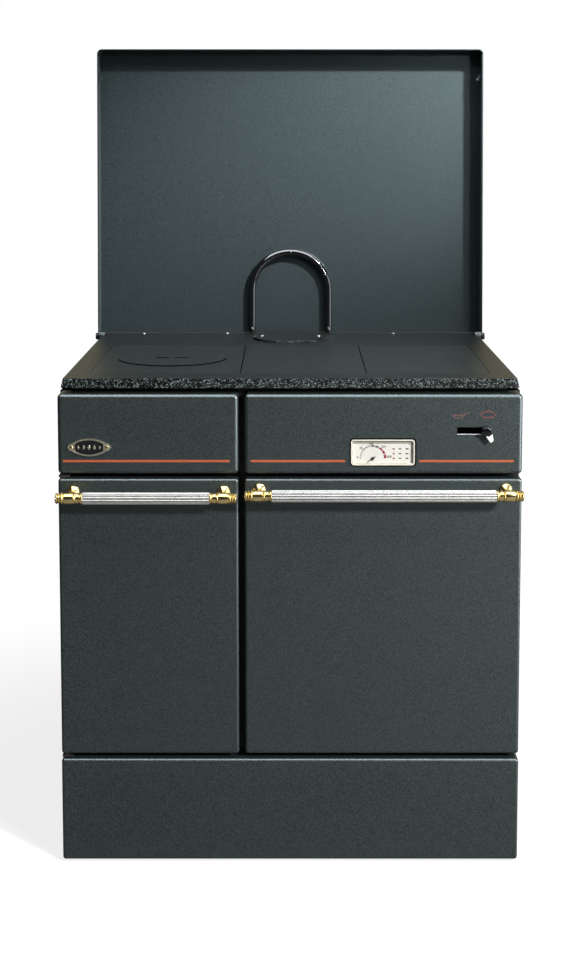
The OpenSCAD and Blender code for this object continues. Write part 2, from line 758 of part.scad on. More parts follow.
module fire_grate() place() color(black) difference() {
    grate_y0 = body_y + 1;
    grate_y1 = fire_y1 - fire_t - brick_t - 1;
    slots = 9;
    bridge = 15; // solid bars across both ends and the middle
    pitch = (fire_w - 2) / slots;
    block([left_cx - fire_w / 2 + 1, grate_y0, grate_z],
          [left_cx + fire_w / 2 - 1, grate_y1, grate_z + grate_t]);
    for (i = [0:slots - 1], half = [0, 1]) {
        run = (grate_y1 - grate_y0 - 3 * bridge) / 2;
        slot_x = left_cx - fire_w / 2 + 1 + pitch * (i + 0.25);
        slot_y = grate_y0 + bridge + half * (run + bridge);
        block([slot_x, slot_y, grate_z - cut], [slot_x + pitch / 2, slot_y + run, hob_h]);
    }
}

module ash_pan() place() color(steel) {
    pan_half = fire_w / 2 - 1;
    pan_y0 = body_y + 24;
    grip_half = 35;
    grip_up = 55;
    grip_z = ash_z + grip_up;
    grip_out = 18;
    grip_r = 3;
    difference() {
        block([left_cx - pan_half, pan_y0, ash_z],
              [left_cx + pan_half, pan_y0 + ash_pan_d, ash_z + ash_pan_h]);
        block([left_cx - pan_half + 1.5, pan_y0 + 1.5, ash_z + 1.5],
              [left_cx + pan_half - 1.5, pan_y0 + ash_pan_d - 1.5, ash_z + ash_pan_h + cut]);
    }
    for (s = [-1, 1])
        rod_y(pan_y0 - grip_out, pan_y0 + 1, left_cx + s * grip_half, grip_z, grip_r);
    rod_x(left_cx - grip_half - grip_r, left_cx + grip_half + grip_r, pan_y0 - grip_out, grip_z,
          grip_r);
}

module oven_box() place() color(steel) {
    difference() {
        union() {
            block([oven_x0 - oven_t, body_y, oven_z - oven_t],
                  [oven_x1 + oven_t, oven_y1 + oven_t, oven_top + oven_t]);
            block([oven_x0 - 12, body_y, oven_z - 12], [oven_x1 + 12, body_y + 2, oven_top + 12]);
        }
        block([oven_x0, body_y - cut, oven_z], [oven_x1, oven_y1, oven_top]);
        rod_z(oven_top - cut, oven_top + oven_t + cut, needle.x, probe_y, probe_r + pin_gap);
    }
    foot_w = 20;
    foot_y = oven_y1 - 2 * foot_w;
    for (x = [oven_x0 + foot_w, oven_x1 - 2 * foot_w])
        block([x, foot_y, floor_z], [x + foot_w, foot_y + 3, oven_z - 1]);
}

// Ladder of ledges on each side wall of the oven
module rack_holder() {
    upright_t = 3;
    upright_in = 40;
    upright_y = [body_y + upright_in, oven_y1 - 1.5 * upright_in];
    for (z = [rack_z, oven_z + oven_h * 0.5, oven_z + oven_h * 0.75])
        block([0, body_y + 10, z - 2], [rib_w, oven_y1 - 10, z]);
    for (y = upright_y)
        block([0, y, rack_z - 20], [upright_t, y + rib_w * 1.5, oven_z + oven_h * 0.75 + 20]);
}

module rack_holders() place() color(nickel) {
    translate([oven_x0, 0, 0]) rack_holder();
    translate([oven_x1, 0, 0]) mirror([1, 0, 0]) rack_holder();
}

module oven_rack() place() color(nickel) {
    wire_r = 2;
    frame_r = 3;
    bars = 14;
    x0 = oven_x0 + 4 + frame_r;
    x1 = oven_x1 - 4 - frame_r;
    y0 = body_y + 14;
    y1 = oven_y1 - 8;
    z = rack_z + seat_gap + frame_r;
    for (x = [x0, x1]) {
        rod_y(y0, y1, x, z, frame_r);
        for (y = [y0, y1]) translate([x, y, z]) sphere(frame_r);
    }
    for (y = [y0, y1]) rod_x(x0, x1, y, z, frame_r);
    for (i = [1:bars]) rod_y(y0, y1, x0 + (x1 - x0) * i / (bars + 1), z, wire_r);
}

module flue_box() place() color(iron) {
    y0 = oven_y1 + oven_t + 2;
    z0 = oven_top + 15;
    for (x = [-flue_box_half, flue_box_half - sheet_t])
        block([x, y0, z0], [x + sheet_t, rear_in, rim_z]);
    block([-flue_box_half, y0, z0], [flue_box_half, rear_in, z0 + sheet_t]);
    difference() {
        block([-flue_box_half, rear_in - sheet_t, z0], [flue_box_half, rear_in, rim_z]);
        rod_y(rear_in - sheet_t - cut, rear_in + cut, 0, rim_z - flue_drop, flue_r - 2);
    }
}

module flue_collar() place() color(iron) difference() {
    union() {
        rod_y(rear_in, collar_end, 0, rim_z - flue_drop, flue_r);
        rod_y(back_y, back_y + 2, 0, rim_z - flue_drop, flue_r + 15);
    }
    rod_y(rear_in - cut, collar_end + cut, 0, rim_z - flue_drop, flue_r - 2);
}

// LID, drawn upright around its pivot and leaned back by lid_place()

module lid_place() place() translate([0, pivot_y, pivot_z]) rotate([-lid_lean, 0, 0]) children();

module lid_hinge_bolts() place() color(steel) for (s = [0, 1]) mirror([s, 0, 0]) {
    rod_x(lug_x - 12, half_w + seat_gap + 0.5, pivot_y, pivot_z, hinge_bolt_r);
    rod_x(half_w + seat_gap, half_w + 5, pivot_y, pivot_z, 7);
}

// Arch outline for the flue-pipe notch, standing on the lid's lower edge
module arch_outline(w) {
    spring = arch_h - arch_w / 2; // height where the arch starts
    translate([-w / 2, lid_foot]) square([w, spring - lid_foot]);
    translate([0, spring]) intersection() {
        circle(w / 2, $fn = 96);
        translate([-w, -cut]) square([2 * w, w]);
    }
}

module lid_stud_holes(y0, y1, r) {
    for (s = [-1, 1]) rod_y(y0, y1, s * arch_w / 2, stud_up, r);
    rod_y(y0, y1, 0, arch_h, r);
}

// Hinge end, folded hem and stop tab of the right flange
module lid_flange() {
    hem_w = 5;
    hem_t = 2.5;
    difference() {
        union() {
            block([lid_in_w, -lid_lip, 0], [half_w, lid_depth, lid_foot + cut]);
            rod_x(lid_in_w, half_w, 0, 0, lid_lip);
            block([lid_in_w, 0, -lid_lip], [half_w, lid_depth * 0.5, cut]);
            block([half_w - hem_t, -lid_lip, 26], [half_w, -lid_lip + hem_w, lid_len - 10]);
        }
        rod_x(lid_in_w - cut, half_w + cut, 0, 0, hinge_bolt_r + pin_gap);
    }
    // Lanced tab that rests on the hob when the lid is shut
    tab_y = pivot_drop + seat_gap;
    translate([0, tab_y, 0]) rotate([-90, 0, 0]) linear_extrude(1.5)
        polygon([[lid_in_w + 0.5, tab_in - lid_len], [lid_in_w + 0.5, tab_in - lid_len + tab_len],
                 [lid_in_w - 13, tab_in - lid_len + tab_len - 4]]);
}

module lid_pan() lid_place() color(enamel) {
    difference() {
        front_plate(-lid_lip, lid_depth + lid_t) intersection() {
            round_rect([-half_w, -lid_len], [half_w, lid_len], 10);
            translate([-half_w, lid_foot]) square([stove_w, lid_len]);
        }
        front_plate(-lid_lip - cut, lid_depth) intersection() {
            round_rect([-lid_in_w, -lid_len], [lid_in_w, lid_len - lid_t], 8.5);
            translate([-half_w, lid_foot - cut]) square([stove_w, lid_len]);
        }
        front_plate(lid_depth - cut, lid_depth + lid_t + cut) arch_outline(arch_w - 20);
        for (s = [-1, 1])
            rod_x(s * half_w - 3, s * half_w + 3, 0, 0, hinge_bolt_r + pin_gap);
        lid_stud_holes(lid_depth - cut, lid_depth + lid_t + cut, stud_r + pin_gap);
    }
    lid_flange();
    mirror([1, 0, 0]) lid_flange();
}

module lid_arch_plate() lid_place() color(enamel) difference() {
    front_plate(lid_depth + lid_t, lid_depth + 2 * lid_t) arch_outline(arch_plate_w);
    lid_stud_holes(lid_depth, lid_depth + 3 * lid_t, stud_r + pin_gap);
}

module lid_arch_tube() lid_place() color(black) {
    tube_y = lid_depth - 2 - arch_tube_r;
    spring = arch_h - arch_w / 2;
    for (s = [-1, 1]) {
        rod_z(lid_foot + 3, spring, s * arch_w / 2, tube_y, arch_tube_r);
        // Thin sleeve over the joint between leg and arch
        rod_z(spring - 1, spring + 1, s * arch_w / 2, tube_y, arch_tube_r + 0.1);
    }
    translate([0, tube_y, spring]) rotate([90, 0, 0])
        rotate_extrude(angle = 180) translate([arch_w / 2, 0]) circle(arch_tube_r);
    lid_stud_holes(tube_y, lid_depth, stud_r + 3);
    lid_stud_holes(tube_y, lid_depth + 2 * lid_t + 5, stud_r);
}

module lid_arch_nuts() lid_place() color(steel) difference() {
    nut_y = lid_depth + 2 * lid_t;
    for (p = [[-arch_w / 2, stud_up], [arch_w / 2, stud_up], [0, arch_h]])
        translate([p.x, nut_y, p.y]) rotate([-90, 0, 0]) cylinder(4, 5.8, 5.8, $fn = 6);
    lid_stud_holes(nut_y - cut, nut_y + 5, stud_r + pin_gap);
}

// RAILS

// Reeded tube along X between x0 and x1
module rail_tube(x0, x1, z) color(nickel)
    translate([x0, rail_y, z]) rotate([90, 0, 90]) linear_extrude(x1 - x0) difference() {
        union() {
            circle(rail_r - reed_r);
            for (i = [0:reeds - 1]) rotate((i + 0.5) * 360 / reeds)
                translate([rail_r - reed_r, 0]) circle(reed_r);
        }
        circle(spigot_r + pin_gap);
    }

// Turned end fitting: outer end at x = 0, running along +X, with its spigot in the rail
module fitting_body() rotate([0, 90, 0]) rotate_extrude() polygon([
    [0, 0], [ring_r - 3, 0], [ring_r - 1.5, 1.2], [ring_r - 1.2, 3.4], [ring_r - 3, 5],
    [ring_r - 0.8, 6], [ring_r - 0.8, 8], [ring_r - 3.4, 9], [ring_r, 10.5], [ring_r, 13.5],
    [ring_r - 2, 14.5], [ring_r - 0.9, 15.5], [ring_r - 0.9, 31], [ring_r - 0.2, 32],
    [ring_r - 0.2, 34], [ring_r - 1.4, 35], [ring_r - 1.8, 41], [ring_r - 3, 42],
    [ring_r - 1, fitting_len - 4], [ring_r - 0.5, fitting_len - 2], [ring_r - 1.2, fitting_len],
    [spigot_r, fitting_len], [spigot_r, fitting_len + spigot_len], [0, fitting_len + spigot_len]]);

// Post and rosette between a fitting and the door face
module rail_post() difference() {
    union() {
        rod_y(0, rail_standoff, 0, 0, post_r);
        translate([0, rail_standoff, 0]) rotate([90, 0, 0]) rotate_extrude()
            polygon([[0, 0], [rosette_r, 0], [rosette_r, 2], [rosette_r - 1.2, 4.5],
                     [rosette_r - 4, 7], [post_r, 8.5], [0, 8.5]]);
    }
    rod_y(rail_standoff - rail_bolt_len - 3, rail_standoff + cut, 0, 0, rail_bolt_r + pin_gap);
}

module rail_fittings(x0, x1, z) color(brass) {
    translate([x0, rail_y, z]) {
        fitting_body();
        translate([post_inset, 0, 0]) rail_post();
    }
    translate([x1, rail_y, z]) mirror([1, 0, 0]) {
        fitting_body();
        translate([post_inset, 0, 0]) rail_post();
    }
}

module rail_bolts(x0, x1, z) color(steel) for (x = [x0 + post_inset, x1 - post_inset]) {
    rod_y(face_y - rail_bolt_len, face_y + sheet_t + 1, x, z, rail_bolt_r);
    rod_y(face_y + sheet_t, face_y + 3 * sheet_t, x, z, 2 * rail_bolt_r);
}

module rail_bolt_holes(x0, x1, z) for (x = [x0 + post_inset, x1 - post_inset])
    rod_y(face_y - cut, face_y + sheet_t + cut, x, z, rail_bolt_r + pin_gap);

left_rail_x0 = left_x0 + left_rail_inset;
left_rail_x1 = left_x1 - rail_inner_inset;
oven_rail_x0 = right_x0 + rail_inner_inset;
oven_rail_x1 = right_x1 - oven_rail_inset;

// LEFT DOOR, over the firebox and the ash pan: turns on two upright pins at its left edge

fire_pin = [left_x0 + pivot_in, face_y + pivot_in];
knuckle = 12;

module fire_door_pivots() place() color(steel) for (top = [0, 1]) {
    z0 = top == 1 ? door_top + 2.5 : door_z - 5.5;
    z1 = z0 + 3;
    pin_z = top == 1 ? [door_top - knuckle + 2, z0 + 1] : [z1 - 1, door_z + knuckle - 2];
    collar_z = top == 1 ? [door_top + seat_gap, z0 + 1] : [z1 - 1, door_z - seat_gap];
    block([left_x0 + 1, face_y + 2, z0], [left_x0 + 1 + strap_w, frame_y, z1]);
    rod_z(pin_z[0], pin_z[1], fire_pin.x, fire_pin.y, pin_r);
    rod_z(collar_z[0], collar_z[1], fire_pin.x, fire_pin.y, pin_r + 2.5);
}

module fire_door_skin() place() color(enamel) difference() {
    union() {
        front_pan(left_x0, left_x1, door_z, door_top, face_y, door_back);
        for (z = [door_z + 1, door_top - 1 - knuckle])
            block([left_x0 + 1, face_y + 1, z],
                  [left_x0 + 2 * pivot_in, face_y + 2 * pivot_in, z + knuckle]);
    }
    rod_z(door_z - cut, door_z + knuckle + 2, fire_pin.x, fire_pin.y, pin_r + pin_gap);
    rod_z(door_top - knuckle - 2, door_top + cut, fire_pin.x, fire_pin.y, pin_r + pin_gap);
    rail_bolt_holes(left_rail_x0, left_rail_x1, left_rail_z);
}

// Spots of the spring catches: one for the left door, two for the oven door
fire_catch = [left_x1 - 18, (door_z + door_top) / 2];
oven_catches = [[right_x0 + 20, door_top - 16], [right_x1 - 20, door_top - 16]];

module catch_slot(p)
    block([p.x - 7, door_back - 2 * sheet_t, p.y - 10], [p.x + 7, door_back + cut, p.y + 10]);

module fire_door_liner() place() color(black) difference() {
    union() {
        block([left_x0 + sheet_t, door_back - sheet_t, door_z + sheet_t],
              [left_x1 - sheet_t, door_back, door_top - sheet_t]);
        block([left_cx - fire_w / 2, door_back - sheet_t, ash_z - 1],
              [left_cx + fire_w / 2, door_back + 2, fire_sill + fire_open_h]);
    }
    catch_slot(fire_catch);
}

module fire_door_seal() place() color(rope)
    ring_plate(left_cx - fire_w / 2 - 14, left_cx + fire_w / 2 + 14, door_z + 3,
               fire_sill + fire_open_h + 14, 8, door_back, frame_y - 0.2);

module fire_rail_tube() place()
    rail_tube(left_rail_x0 + fitting_len, left_rail_x1 - fitting_len, left_rail_z);

module fire_rail_fittings() place() rail_fittings(left_rail_x0, left_rail_x1, left_rail_z);

module fire_rail_bolts() place() rail_bolts(left_rail_x0, left_rail_x1, left_rail_z);

// OVEN DOOR: drops forward on two pins near its lower edge

oven_pin_y = face_y + pivot_in;
oven_pin_z = door_z + pivot_in;
arm_xs = [right_x0 + arm_inset, right_x1 - arm_inset];
arm_h = 10;
pin_len = 9; // length of pin on each side of an arm

module oven_hinge_arms() place() color(steel) for (x = arm_xs) {
    rod_x(x - arm_t / 2, x + arm_t / 2, oven_pin_y, oven_pin_z, arm_h / 2);
    block([x - arm_t / 2, oven_pin_y, oven_pin_z - arm_h / 2],
          [x + arm_t / 2, frame_y, oven_pin_z + arm_h / 2]);
    rod_x(x - arm_t / 2 - pin_len, x + arm_t / 2 + pin_len, oven_pin_y, oven_pin_z, pin_r);
}

module oven_door_skin() place() color(enamel) difference() {
    union() {
        front_pan(right_x0, right_x1, door_z, door_top, face_y, door_back);
        for (x = arm_xs) block([x - arm_t / 2 - pin_len - 1, face_y + 1, door_z + 1],
            [x + arm_t / 2 + pin_len + 1, oven_pin_y + pivot_in - 1, oven_pin_z + pivot_in - 1]);
    }
    for (x = arm_xs) {
        block([x - arm_t / 2 - 1, oven_pin_y - arm_h / 2 - 0.7, door_z - cut],
              [x + arm_t / 2 + 1, door_back + cut, oven_pin_z + pivot_in]);
        rod_x(x - arm_t / 2 - pin_len - 2, x + arm_t / 2 + pin_len + 2, oven_pin_y, oven_pin_z,
              pin_r + pin_gap);
    }
    rail_bolt_holes(oven_rail_x0, oven_rail_x1, oven_rail_z);
}

module oven_door_liner() place() color(black) difference() {
    union() {
        block([right_x0 + sheet_t, door_back - sheet_t, oven_pin_z + pivot_in + 1],
              [right_x1 - sheet_t, door_back, door_top - sheet_t]);
        block([oven_x0 + 6, door_back - sheet_t, oven_z + 6],
              [oven_x1 - 6, door_back + 2, oven_top - 6]);
    }
    for (p = oven_catches) catch_slot(p);
}

module oven_door_seal() place() color(rope)
    ring_plate(oven_x0 - 14, oven_x1 + 14, oven_z - 14, oven_top + 14, 8,
               door_back, frame_y - 0.2);

module oven_rail_tube() place()
    rail_tube(oven_rail_x0 + fitting_len, oven_rail_x1 - fitting_len, oven_rail_z);

module oven_rail_fittings() place() rail_fittings(oven_rail_x0, oven_rail_x1, oven_rail_z);

module oven_rail_bolts() place() rail_bolts(oven_rail_x0, oven_rail_x1, oven_rail_z);

module door_catches() place() color(steel) for (p = concat([fire_catch], oven_catches)) {
    block([p.x - 5, door_back - 8, p.y - 8], [p.x + 5, frame_y, p.y + 8]);
    rod_x(p.x - 5, p.x + 5, door_back - 8, p.y, 4);
}

// DRAWER

module drawer_front() place() color(enamel) {
    front_pan(-half_w, half_w, drawer_z, drawer_top, face_y - drawer_proud, door_back);
    for (x = [bracket_in - tray_half, tray_half - bracket_in - bracket_w])
        block([x, face_y - drawer_proud + 1, tray_z + 10],
              [x + bracket_w, door_back, tray_z + tray_h - 10]);
}

module drawer_tray() place() color(steel) {
    difference() {
        block([-tray_half, door_back, tray_z], [tray_half, door_back + tray_d, tray_z + tray_h]);
        block([-tray_half + 1.5, door_back + 1.5, tray_z + 1.5],
              [tray_half - 1.5, door_back + tray_d - 1.5, tray_z + tray_h + cut]);
    }
    for (s = [0, 1]) mirror([s, 0, 0])
        block([tray_half - 1, door_back, runner_z + seat_gap],
              [tray_half + tray_flange_w, door_back + tray_d, runner_z + seat_gap + sheet_t]);
}

base_frame();
levelling_feet();
left_side_panel();
right_side_panel();
back_panel();
front_frame();
floor_plate();
drawer_runners();
left_fascia();
right_fascia();
badge_plate();
badge_screws();
thermometer_bezel();
thermometer_dial();
thermometer_glass();
thermometer_probe();
thermometer_needle();
damper_lever();
damper_tip();
damper_plate();
hob_frame();
hob_screws();
flue_cover();
flue_cover_screws();
left_hob_plate();
burner_disc();
centre_hob_plate();
right_hob_plate();
firebox_shell();
firebricks();
fire_grate();
ash_pan();
oven_box();
rack_holders();
oven_rack();
flue_box();
flue_collar();
lid_hinge_bolts();
lid_pan();
lid_arch_tube();
lid_arch_plate();
lid_arch_nuts();
fire_door_pivots();
fire_door_skin();
fire_door_liner();
fire_door_seal();
fire_rail_tube();
fire_rail_fittings();
fire_rail_bolts();
oven_hinge_arms();
oven_door_skin();
oven_door_liner();
oven_door_seal();
oven_rail_tube();
oven_rail_fittings();
oven_rail_bolts();
door_catches();
drawer_front();
drawer_tray();
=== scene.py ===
"""Looks of a wood cook stove: slate enamel fronts, reeded rails in turned brass fittings,
a granular hob with lift-off plates and a folding lid, in front of a plain studio background.
All lengths are metres in the part's own frame: +X right, -Y front, +Z up."""

import json
import math

import bmesh
import bpy
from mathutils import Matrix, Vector

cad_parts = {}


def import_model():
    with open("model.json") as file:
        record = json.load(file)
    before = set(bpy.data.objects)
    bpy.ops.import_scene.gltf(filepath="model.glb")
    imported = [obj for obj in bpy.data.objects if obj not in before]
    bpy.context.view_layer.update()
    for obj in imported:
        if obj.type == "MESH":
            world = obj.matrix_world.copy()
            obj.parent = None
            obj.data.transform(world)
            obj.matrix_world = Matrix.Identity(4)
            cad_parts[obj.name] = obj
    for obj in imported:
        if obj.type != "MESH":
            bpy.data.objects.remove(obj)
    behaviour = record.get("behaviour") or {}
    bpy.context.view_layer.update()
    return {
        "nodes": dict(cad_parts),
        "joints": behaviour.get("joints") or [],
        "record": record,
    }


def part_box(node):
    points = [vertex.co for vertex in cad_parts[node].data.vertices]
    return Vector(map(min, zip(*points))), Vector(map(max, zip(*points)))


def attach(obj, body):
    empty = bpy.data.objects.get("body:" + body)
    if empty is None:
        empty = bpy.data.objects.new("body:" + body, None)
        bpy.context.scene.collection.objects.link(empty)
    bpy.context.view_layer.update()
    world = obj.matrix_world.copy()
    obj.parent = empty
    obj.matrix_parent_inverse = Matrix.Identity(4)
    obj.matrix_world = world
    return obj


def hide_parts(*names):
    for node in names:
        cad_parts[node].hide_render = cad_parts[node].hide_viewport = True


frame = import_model()
MM = 0.001
BOX = {name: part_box(name) for name in frame["nodes"]}
BODY = {node: body for body, nodes in frame["record"]["behaviour"]["bodies"].items()
        for node in nodes}
SLOT = {row["node"]: row["material_slot"] for row in frame["record"]["subparts"]}
PIVOT = {joint["name"]: Vector(joint["pos_m"]) for joint in frame["joints"] if "pos_m" in joint}

SHEET = 2 * MM            # enamelled sheet of the fronts
EDGE_R = 5 * MM           # rounded front edges
FASCIA_R = 7 * MM         # rounder edges of the fascias
FACE_Y = BOX["fire_door_skin"][0].y
FRAME_Y = BOX["front_frame"][0].y
HOB_Z = BOX["left_hob_plate"][1].z


def new_object(name, data):
    made = bpy.data.objects.new(name, data)
    bpy.context.scene.collection.objects.link(made)
    return made


# CAMERA: fitted to the photograph's 566 x 960 frame

HOB_FRONT_Y = BOX["hob_frame"][0].y + 4 * MM
EYE_RIGHT, EYE_AWAY, EYE_UP = 0.0009, 2.729, 1.282
TILT = 5.415              # degrees below the horizon
camera_data = bpy.data.cameras.new("photo_camera")
camera_data.sensor_width = 36.0
camera_data.lens = 60.1
camera_data.shift_x = -0.0079
camera_data.shift_y = -0.205
camera = new_object("photo_camera", camera_data)
camera.location = (EYE_RIGHT, HOB_FRONT_Y - EYE_AWAY, EYE_UP)
camera.rotation_euler = (math.radians(90 - TILT), 0, 0)
bpy.context.scene.camera = camera


# MATERIALS

class Shader:
    """A node tree around one Principled shader, with object-space texture coordinates."""

    def __init__(self, name, colour, rough, metal=0.0, coat=0.0, coat_rough=0.1, spec=0.5):
        self.material = bpy.data.materials.new(name)
        self.material.use_nodes = True
        self.tree = self.material.node_tree
        self.bsdf = self.tree.nodes["Principled BSDF"]
        self.set("Base Color", (*colour, 1))
        self.set("Roughness", rough)
        self.set("Metallic", metal)
        self.set("Coat Weight", coat)
        self.set("Coat Roughness", coat_rough)
        self.set("Specular IOR Level", spec)
        self.coords = self.tree.nodes.new("ShaderNodeTexCoord").outputs["Object"]

    def set(self, socket, value):
        self.bsdf.inputs[socket].default_value = value

    def node(self, kind, **values):
        """New node; each value goes to the property or the input of its name."""
        made = self.tree.nodes.new(kind)
        for key, value in values.items():
            if hasattr(made, key):
                setattr(made, key, value)
            else:
                made.inputs[key.replace("_", " ")].default_value = value
        return made

    def link(self, a, b):
        self.tree.links.new(a, b)

    def noise(self, scale, detail=2.0, rough=0.5):
        """Fac output of a noise with `scale` features per metre."""
        made = self.node("ShaderNodeTexNoise", Scale=scale, Detail=detail, Roughness=rough)
        self.link(self.coords, made.inputs["Vector"])
        return made.outputs["Fac"]

    def cells(self, scale):
        """Distance from the middle of small cells."""
        made = self.node("ShaderNodeTexVoronoi", Scale=scale)
        self.link(self.coords, made.inputs["Vector"])
        return made.outputs["Distance"]

    def flecks(self, scale, warp=0.0):
        """A random value for each small cell; `warp` metres of noise make the cells ragged."""
        made = self.node("ShaderNodeTexVoronoi", Scale=scale)
        source = self.coords
        if warp:
            push = self.node("ShaderNodeTexNoise", Scale=scale * 1.6, Detail=2.0, Roughness=0.6)
            self.link(self.coords, push.inputs["Vector"])
            add = self.node("ShaderNodeVectorMath", operation="MULTIPLY_ADD")
            self.link(push.outputs["Color"], add.inputs[0])
            add.inputs[1].default_value = (warp, warp, warp)
            self.link(self.coords, add.inputs[2])
            source = add.outputs["Vector"]
        self.link(source, made.inputs["Vector"])
        parts = self.node("ShaderNodeSeparateColor")
        self.link(made.outputs["Color"], parts.inputs["Color"])
        return parts.outputs["Red"]

    def ramp(self, fac, stops):
        """Colour ramp; stops are (position, value or colour)."""
        made = self.tree.nodes.new("ShaderNodeValToRGB")
        elements = made.color_ramp.elements
        while len(elements) < len(stops):
            elements.new(0.5)
        for element, (place, value) in zip(elements, stops):
            element.position = place
            element.color = (*value, 1) if isinstance(value, tuple) else (value, value, value, 1)
        self.link(fac, made.inputs["Fac"])
        return made.outputs["Color"]

    def colour(self, fac, stops):
        self.link(self.ramp(fac, stops), self.bsdf.inputs["Base Color"])

    def rough(self, fac, low, high):
        self.link(self.ramp(fac, [(0.3, low), (0.7, high)]), self.bsdf.inputs["Roughness"])

    def bump(self, fac, height, strength=1.0):
        """Adds a bump of about `height` metres on top of the bumps added before."""
        made = self.node("ShaderNodeBump", Distance=height, Strength=strength)
        self.link(fac, made.inputs["Height"])
        if self.bsdf.inputs["Normal"].is_linked:
            self.link(self.bsdf.inputs["Normal"].links[0].from_socket, made.inputs["Normal"])
        self.link(made.outputs["Normal"], self.bsdf.inputs["Normal"])


def enamel_material(name, dark, light, rough, tint):
    """Semi-gloss vitreous enamel with a fine speckle and a faint orange peel."""
    s = Shader(name, dark, rough, spec=0.9)
    s.set("Specular Tint", (*tint, 1))
    s.colour(s.noise(500, 2, 0.7), [(0.41, dark), (0.59, light)])
    s.rough(s.noise(420, 3, 0.7), rough - 0.05, rough + 0.06)
    s.bump(s.noise(520, 2, 0.6), 0.00022, 0.8)
    return s.material


def by_facing(material, axis, start, full, changes):
    """Blends other shader values in where the normal's part along an object axis goes from
    `start` to `full`."""
    tree = material.node_tree
    bsdf = tree.nodes["Principled BSDF"]
    coords = tree.nodes.new("ShaderNodeTexCoord")
    parts = tree.nodes.new("ShaderNodeSeparateXYZ")
    size = tree.nodes.new("ShaderNodeMath")
    size.operation = "ABSOLUTE"
    share = tree.nodes.new("ShaderNodeMapRange")
    share.inputs["From Min"].default_value = start
    share.inputs["From Max"].default_value = full
    tree.links.new(coords.outputs["Normal"], parts.inputs["Vector"])
    tree.links.new(parts.outputs[axis], size.inputs[0])
    tree.links.new(size.outputs["Value"], share.inputs["Value"])
    for socket, value in changes.items():
        level = value if isinstance(value, tuple) else (value, value, value)
        mix = tree.nodes.new("ShaderNodeMix")
        mix.data_type = "RGBA"
        tree.links.new(share.outputs["Result"], mix.inputs["Factor"])
        if bsdf.inputs[socket].is_linked:
            tree.links.new(bsdf.inputs[socket].links[0].from_socket, mix.inputs["A"])
        else:
            now = bsdf.inputs[socket].default_value
            mix.inputs["A"].default_value = (now, now, now, 1)
        mix.inputs["B"].default_value = (*level, 1)
        tree.links.new(mix.outputs["Result"], bsdf.inputs[socket])
    return material


def granular_material(name, dark, light, rough, grain, height, share=0.3, fleck=2.2, spec=0.6,
                      warp=0.0):
    """Gritty enamel: a `share` of the grains is `fleck` times as bright as the light ones."""
    s = Shader(name, dark, rough, spec=spec)
    s.colour(s.flecks(grain, warp), [(0.25, dark), (0.94 - share, light),
                                     (1.0 - share * 0.6, tuple(fleck * c for c in light))])
    s.rough(s.noise(grain * 0.4, 2), rough - 0.08, rough + 0.1)
    s.bump(s.cells(grain), height, 0.8)
    s.bump(s.noise(grain * 2, 2), height * 0.5, 0.6)
    return s.material


def metal_material(name, colour, rough, wear=0.04, metal=1.0):
    """Metal with faint tarnish; `wear` is how far its roughness strays."""
    s = Shader(name, colour, rough, metal)
    s.rough(s.noise(220, 3, 0.6), max(rough - wear, 0.02), rough + wear)
    s.colour(s.noise(90, 3), [(0.35, tuple(c * 0.93 for c in colour)),
                              (0.65, tuple(min(c * 1.06, 1) for c in colour))])
    return s.material


def plain_material(name, colour, rough, grain=600, depth=0.0, coat=0.0, spread=0.08):
    """Paint, ink, plastic or raw casting whose colour strays by `spread`."""
    s = Shader(name, colour, rough, coat=coat)
    s.colour(s.noise(grain, 2), [(0.35, tuple(c * (1 - spread) for c in colour)),
                                 (0.65, tuple(min(c * (1 + spread), 1) for c in colour))])
    s.rough(s.noise(grain * 0.3, 2), max(rough - 0.05, 0.03), min(rough + 0.06, 1))
    if depth:
        s.bump(s.noise(grain, 3), depth, 0.6)
    return s.material


def brick_material():
    s = Shader("firebrick_stone", (0.46, 0.36, 0.25), 0.9)
    s.colour(s.noise(110, 6, 0.7), [(0.3, (0.25, 0.18, 0.12)), (0.5, (0.44, 0.34, 0.23)),
                                    (0.75, (0.58, 0.49, 0.36))])
    s.bump(s.noise(160, 5, 0.7), 0.0015, 0.8)
    return s.material


def rope_material():
    """Braided glass-fibre rope: two sets of slanting strands."""
    s = Shader("rope_braid", (0.42, 0.40, 0.35), 0.95)
    wave = s.node("ShaderNodeTexWave", wave_type="BANDS", bands_direction="DIAGONAL",
                  Scale=120, Distortion=2.0, Detail=2.0)
    s.link(s.coords, wave.inputs["Vector"])
    s.colour(wave.outputs["Fac"], [(0.1, (0.20, 0.19, 0.17)), (0.7, (0.55, 0.53, 0.47))])
    s.bump(wave.outputs["Fac"], 0.0006, 1.0)
    return s.material


def glass_material():
    s = Shader("clear_glass", (0.04, 0.04, 0.04), 0.03, spec=0.5)
    s.set("Alpha", 0.06)
    s.rough(s.noise(60, 2), 0.02, 0.05)
    s.material.surface_render_method = "BLENDED"
    return s.material


SLATE = ((0.002, 0.004, 0.004), (0.025, 0.032, 0.032), 0.36, (0.84, 1.0, 1.0))
# Painted shade: black, matt and without gloss, for faces that lie in shade in seams and under or
# behind other parts.
PAINTED_SHADE = {"Base Color": (0.001, 0.001, 0.001), "Roughness": 1.0, "Specular IOR Level": 0.0}


def lid_enamel():
    """Slate enamel whose sideways-facing faces, the side flanges, are painted near black and matt as
    painted shade.
    """
    made = enamel_material("lid_slate_enamel", (0.001, 0.002, 0.003), (0.012, 0.017, 0.018), 0.42,
                           (0.76, 0.98, 1.0))
    # Painted shade: the further a face turns to the side, the darker and duller it is painted.
    return by_facing(made, "X", 0, 1, {"Base Color": (0.002, 0.002, 0.002), "Roughness": 0.95})


def side_enamel():
    """Slate enamel with painted shade: its faces that point up, down, forward and back, such as the
    top under the hob rim and the edge behind the fronts, are painted black.
    """
    made = enamel_material("side_slate_enamel", *SLATE)
    # Painted shade on the faces along Z and along Y.
    return by_facing(by_facing(made, "Z", 0.8, 1.0, PAINTED_SHADE), "Y", 0.8, 1.0, PAINTED_SHADE)


